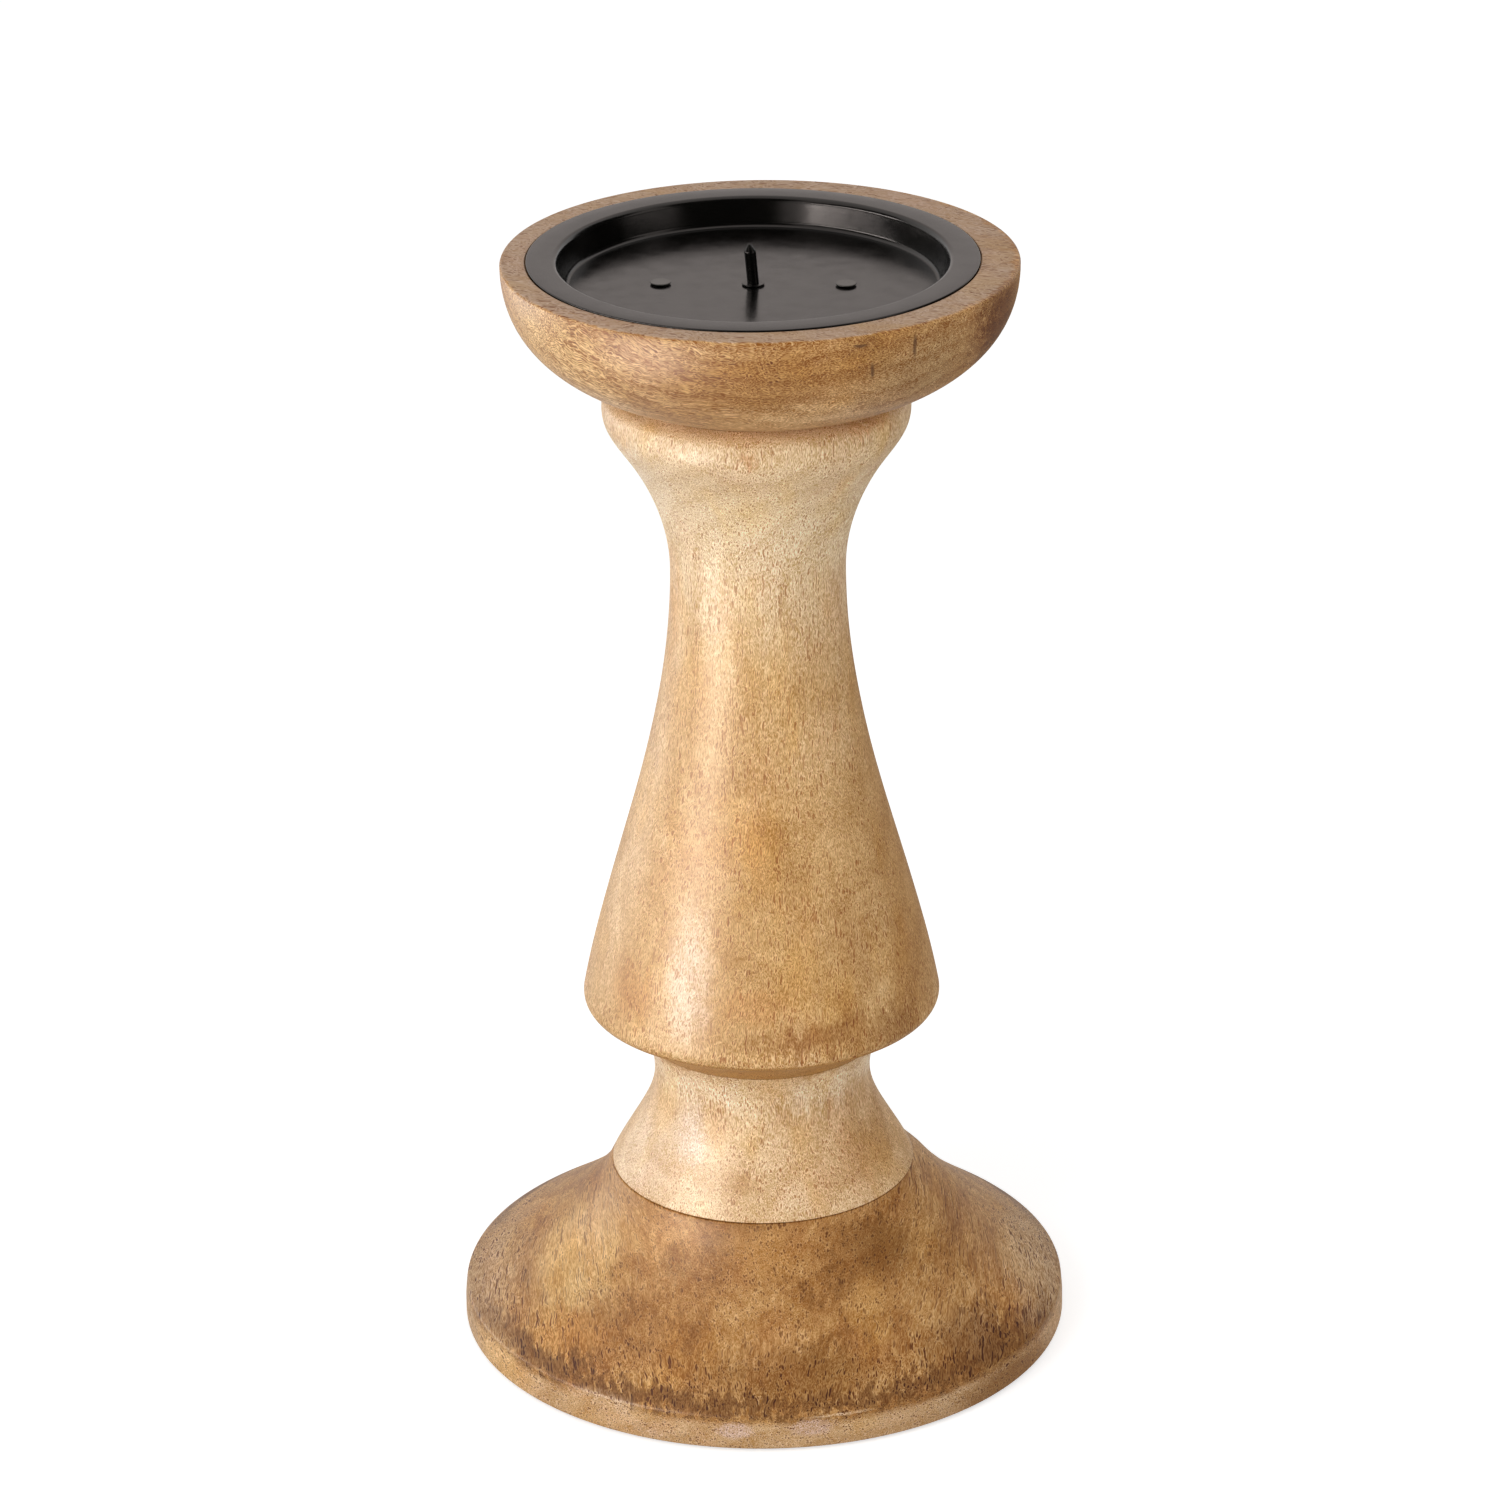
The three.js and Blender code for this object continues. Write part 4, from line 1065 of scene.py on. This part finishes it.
def make_spike():
    centre = middle("candle_plate")
    base = ends("candle_plate")[1] - PLATE_DEPTH + SEAT_GAP
    rivet_top = -PLATE_SHEET - 2 * SEAT_GAP
    edge = (SPIKE_COLLAR_RADIUS, SPIKE_COLLAR_HEIGHT)
    tail = [
        (0, rivet_top - RIVET_HEIGHT),
        (RIVET_RADIUS * RIVET_CROWN[0], rivet_top - RIVET_HEIGHT * RIVET_CROWN[1]),
        (RIVET_RADIUS, rivet_top - RIVET_HEIGHT / 3),
        (RIVET_RADIUS, rivet_top),
        (SPIKE_TAIL_RADIUS, rivet_top),
        (SPIKE_TAIL_RADIUS, 0),
        (SPIKE_COLLAR_RADIUS, 0),
        *eased((SPIKE_COLLAR_RADIUS, 0), edge, (0, SPIKE_COLLAR_HEIGHT), SPIKE_COLLAR_EASE),
        (SPIKE_COLLAR_RADIUS - SPIKE_COLLAR_INSET, SPIKE_COLLAR_HEIGHT),
        (0, SPIKE_COLLAR_HEIGHT),
    ]
    shape = bmesh.new()
    spun(shape, tail, closed=False, sides=SMALL_SIDES, centre=centre)
    start = SPIKE_COLLAR_HEIGHT
    shoulder = (SPIKE_RADIUS, SPIKE_HEIGHT - SPIKE_POINT_HEIGHT)
    straight = shoulder[1] - SPIKE_SHOULDER_EASE - start
    tip = (SPIKE_TIP_RADIUS, SPIKE_HEIGHT)
    point = [
        (0, start),
        *[(SPIKE_RADIUS, start + straight * i / SPIKE_RINGS) for i in range(SPIKE_RINGS + 1)],
        *eased((SPIKE_RADIUS, start), shoulder, tip, SPIKE_SHOULDER_EASE, 3),
        *eased(shoulder, tip, (0, SPIKE_HEIGHT), SPIKE_TIP_EASE, 3),
        (0, SPIKE_HEIGHT),
    ]
    lean = Matrix.Rotation(-SPIKE_LEAN, 4, "Y")
    spun(shape, point, closed=False, sides=SMALL_SIDES, centre=centre, turn=lean)
    bmesh.ops.translate(shape, verts=shape.verts[:], vec=(0, 0, base))
    finished("spike", shape, spike_steel, "candle_spike", slot="spike_steel")


def make_tack(node):
    head = ends(node)[1] - TACK_HEAD_HEIGHT
    top = head + TACK_HEAD_THICK
    outline = [
        (0, head - TACK_LENGTH),
        (TACK_SHANK_RADIUS, head - TACK_LENGTH + TACK_POINT_LENGTH),
        (TACK_SHANK_RADIUS, head),
        (TACK_HEAD_RADIUS - TACK_LOWER_EDGE, head),
        (TACK_HEAD_RADIUS, head + TACK_LOWER_EDGE),
        *eased((TACK_HEAD_RADIUS, head), (TACK_HEAD_RADIUS, top), (0, top), TACK_UPPER_EASE),
        (TACK_HEAD_RADIUS - TACK_HEAD_INSET, top),
        (0, top),
    ]
    shape = bmesh.new()
    spun(shape, outline, closed=False, sides=SMALL_SIDES, centre=middle(node))
    finished(node.replace("plate_", "") + "_head", shape, tack_steel, node, slot="tack_steel")


def make_pad(node):
    radius = reach(node)
    low, high = ends(node)
    outline = [(0, low), (radius / 2, low)]
    outline += arc((radius - PAD_LOWER_EDGE, low + PAD_LOWER_EDGE), PAD_LOWER_EDGE, -90, 0, 4)
    outline += arc((radius - PAD_UPPER_EDGE, high - PAD_UPPER_EDGE), PAD_UPPER_EDGE, 0, 90, 3)
    outline += [(0, high)]
    shape = bmesh.new()
    spun(shape, outline, closed=False, sides=PAD_SIDES, centre=middle(node))
    finished(node.replace("foot_pad", "felt_disc"), shape, brown_felt, node, slot="brown_felt")


def make_washer(node):
    low, high = ends(node)
    outline = [
        (SCREW_HOLE_RADIUS, low),
        (WASHER_RADIUS, low),
        (WASHER_RADIUS, high),
        (SCREW_HOLE_RADIUS, high),
    ]
    shape = bmesh.new()
    spun(shape, outline, sides=WASHER_SIDES)
    rims = [e for e in shape.edges if len(e.link_faces) == 2 and e.calc_face_angle() > 1]
    bmesh.ops.bevel(
        shape, geom=rims, offset=WASHER_BEVEL, segments=2, affect="EDGES", profile=0.5, material=-1
    )
    finished(node + "_ring", shape, zinc_steel, node, slot="zinc_steel")


def make_screw(node, points_up):
    low, high = ends(node)
    length = high - low - SCREW_HEAD_HEIGHT
    bottom = SCREW_POINT_LENGTH - length
    blank = [(0, -length), (SCREW_CORE_RADIUS, bottom), (SCREW_CORE_RADIUS, 0)]
    for i in range(SCREW_HEAD_STEPS):
        angle = math.radians(90 * i / SCREW_HEAD_STEPS)
        blank.append((SCREW_HEAD_RADIUS * math.cos(angle), SCREW_HEAD_HEIGHT * math.sin(angle)))
    blank.append((0, SCREW_HEAD_HEIGHT))
    shape = bmesh.new()
    spun(shape, blank, closed=False, sides=SMALL_SIDES)
    root = SCREW_CORE_RADIUS - THREAD_ROOT_DEPTH
    section = [
        shape.verts.new((root, 0, bottom - THREAD_RIDGE_WIDTH / 2)),
        shape.verts.new((SCREW_RADIUS, 0, bottom)),
        shape.verts.new((root, 0, bottom + THREAD_RIDGE_WIDTH / 2)),
    ]
    face = shape.faces.new(section)
    turns = SCREW_THREAD_LENGTH / THREAD_PITCH
    steps = int(turns * THREAD_STEPS)
    bmesh.ops.spin(
        shape,
        geom=[face, *face.edges, *face.verts],
        cent=(0, 0, 0),
        axis=(0, 0, 1),
        dvec=(0, 0, SCREW_THREAD_LENGTH / steps),
        angle=2 * math.pi * turns,
        steps=steps,
        use_merge=False,
        use_duplicate=False,
    )
    head_level = high - SCREW_HEAD_HEIGHT
    turn = Matrix.Identity(4)
    if points_up:
        head_level = low + SCREW_HEAD_HEIGHT
        turn = Matrix.Rotation(math.pi, 4, "X")
    bmesh.ops.transform(shape, matrix=turn, verts=shape.verts[:])
    bmesh.ops.translate(shape, verts=shape.verts[:], vec=(0, 0, head_level))
    piece = finished(node + "_threaded", shape, zinc_steel, node, slot="zinc_steel")
    slots = []
    sizes = (CROSS_SLOT_LENGTH, CROSS_SLOT_WIDTH)
    for wide, deep in (sizes, sizes[::-1]):
        block = bmesh.new()
        bmesh.ops.create_cube(block, size=1)
        bmesh.ops.scale(block, verts=block.verts[:], vec=(wide, deep, 2 * CROSS_SLOT_DEPTH))
        end = low if points_up else high
        bmesh.ops.translate(block, verts=block.verts[:], vec=(0, 0, end))
        slots.append(cutter(block))
    carved(piece, slots)


make_foot()
make_neck()
make_stem()
make_bowl()
make_plate()
make_spike()
for node in TACKS:
    make_tack(node)
for node in PADS:
    make_pad(node)
for node in ("foot_washer", "bowl_washer"):
    make_washer(node)
make_screw("foot_screw", points_up=True)
make_screw("bowl_screw", points_up=False)


# Camera, floor and light

def make_camera():
    camera = placed("camera", bpy.data.cameras.new("camera"))
    camera.data.lens = CAMERA_LENS
    camera.data.sensor_width = CAMERA_SENSOR
    camera.data.clip_end = CAMERA_REACH * MM
    forward = Vector((0, math.cos(CAMERA_PITCH), -math.sin(CAMERA_PITCH)))
    right = Vector((1, 0, 0))
    up = right.cross(forward)
    cos, sin = math.cos(CAMERA_ROLL), math.sin(CAMERA_ROLL)
    turned_right = right * cos + up * sin
    turned_up = up * cos - right * sin
    basis = Matrix((turned_right, turned_up, -forward)).transposed().to_4x4()
    camera.matrix_world = Matrix.Translation(Vector(CAMERA_PLACE) * MM) @ basis
    bpy.context.scene.camera = camera


def sheet(name, half_size, look):
    """A square sheet, flat on the table, in the given look."""
    shape = bmesh.new()
    bmesh.ops.create_grid(shape, x_segments=1, y_segments=1, size=half_size)
    mesh = mesh_of(name, shape)
    mesh.materials.append(look.made)
    return placed(name, mesh)


def make_floor():
    """White paper that is lit evenly to the camera and takes shadows. It can't be seen from below."""
    look = Look("floor")
    path = look.new("LightPath")
    seen = look.math("MAXIMUM", path.outputs["Is Camera Ray"], path.outputs["Is Transmission Ray"])
    seen = look.math("MULTIPLY_ADD", path.outputs["Is Glossy Ray"], FLOOR_GLOSSY_SHARE, seen)
    plain = look.add("BsdfDiffuse", inputs={"Color": FLOOR_COLOUR})
    glow = look.add("Emission", inputs={"Color": WHITE, "Strength": FLOOR_GLOW})
    bright = look.add("AddShader", inputs={0: plain, 1: glow})
    above = look.add("MixShader", inputs={0: seen, 1: plain, 2: bright})
    clear = look.add("BsdfTransparent", inputs={"Color": WHITE})
    behind = look.add("NewGeometry", "Backfacing")
    look.show(look.add("MixShader", inputs={0: behind, 1: above, 2: clear}))
    floor = sheet("floor", FLOOR_HALF_SIZE, look)


def aimed(piece, place, aim):
    """Puts a lamp or card at a place, in millimetres, with its front towards the aim."""
    place, aim = Vector(place) * MM, Vector(aim) * MM
    piece.location = place
    piece.rotation_mode = "QUATERNION"
    piece.rotation_quaternion = (aim - place).to_track_quat("-Z", "Y")


def make_lamp(name, azimuth, distance, rise, size, power, aim):
    """A soft box. The azimuth is from the front, with the right side positive.

    rise and aim are the heights of the lamp and of the point on the axis that it looks at.
    """
    lamp = placed(name, bpy.data.lights.new(name, "AREA"))
    lamp.data.shape = "RECTANGLE"
    lamp.data.size = size[0] * MM
    lamp.data.size_y = size[1] * MM
    lamp.data.energy = power
    azimuth = math.radians(azimuth)
    place = (math.sin(azimuth) * distance, -math.cos(azimuth) * distance, rise)
    aimed(lamp, place, (0, 0, aim))
    lamp.visible_camera = False
    return lamp


def make_card(name, place, half_size, aim=CARD_AIM, shade=CARD_SHADE):
    """A dark or tinted card out of view, which keeps the white room out of the gloss on that side."""
    look = Look(name)
    look.show(look.add("Emission", inputs={"Color": (*shade, 1), "Strength": 1}))
    card = sheet(name, half_size, look)
    aimed(card, place, aim)
    card.visible_camera = False
    card.visible_diffuse = False
    card.visible_shadow = False


def make_world():
    """A room that is white in the picture and in the gloss, and greyer in the light that it gives."""
    look = Look("studio", world=True)
    bpy.context.scene.world = look.made
    path = look.new("LightPath")
    seen = look.math("MAXIMUM", path.outputs["Is Glossy Ray"], path.outputs["Is Transmission Ray"])
    seen = look.math("MAXIMUM", seen, path.outputs["Is Camera Ray"])
    room = look.add("Background", inputs={"Color": WHITE, "Strength": ROOM_LIGHT})
    white = look.add("Background", inputs={"Color": WHITE, "Strength": 1})
    look.show(look.add("MixShader", inputs={0: seen, 1: room, 2: white}))


make_camera()
make_floor()
make_card("front_card", (500, -1900, 1700), half_size=1700)
make_card("right_card", (1800, 500, 900), half_size=900)
make_card("left_card", (-1400, -500, 560), half_size=900, aim=(0, 0, 290))
# The low card lies where the candlestick's shadow falls on the floor; its tint is painted shade, seen
# only in the gloss
make_card("low_card", (960, 560, 3), half_size=850, aim=(960, 560, 900), shade=(0.28, 0.25, 0.22))
make_card("back_card", (0, 2400, 1500), half_size=1200, shade=(0.82, 0.75, 0.72))
key = make_lamp("key_light", -42, 1180, rise=700, size=(600, 900), power=7.3, aim=150)
fill = make_lamp("fill_light", 50, 1360, rise=780, size=(900, 900), power=2, aim=150)
for lamp in (key, fill):
    lamp.visible_glossy = False
for sheen in (
    make_lamp("strip_light", -50, 260, rise=140, size=(130, 160), power=0.84, aim=145),
    make_lamp("side_light", -66, 700, rise=396, size=(860, 80), power=3, aim=290),
    make_lamp("low_light", -115, 700, rise=60, size=(500, 400), power=3, aim=60),
):
    sheen.visible_diffuse = False
make_world()

scene = bpy.context.scene
scene.view_settings.view_transform = "Standard"

bpy.context.view_layer.update()
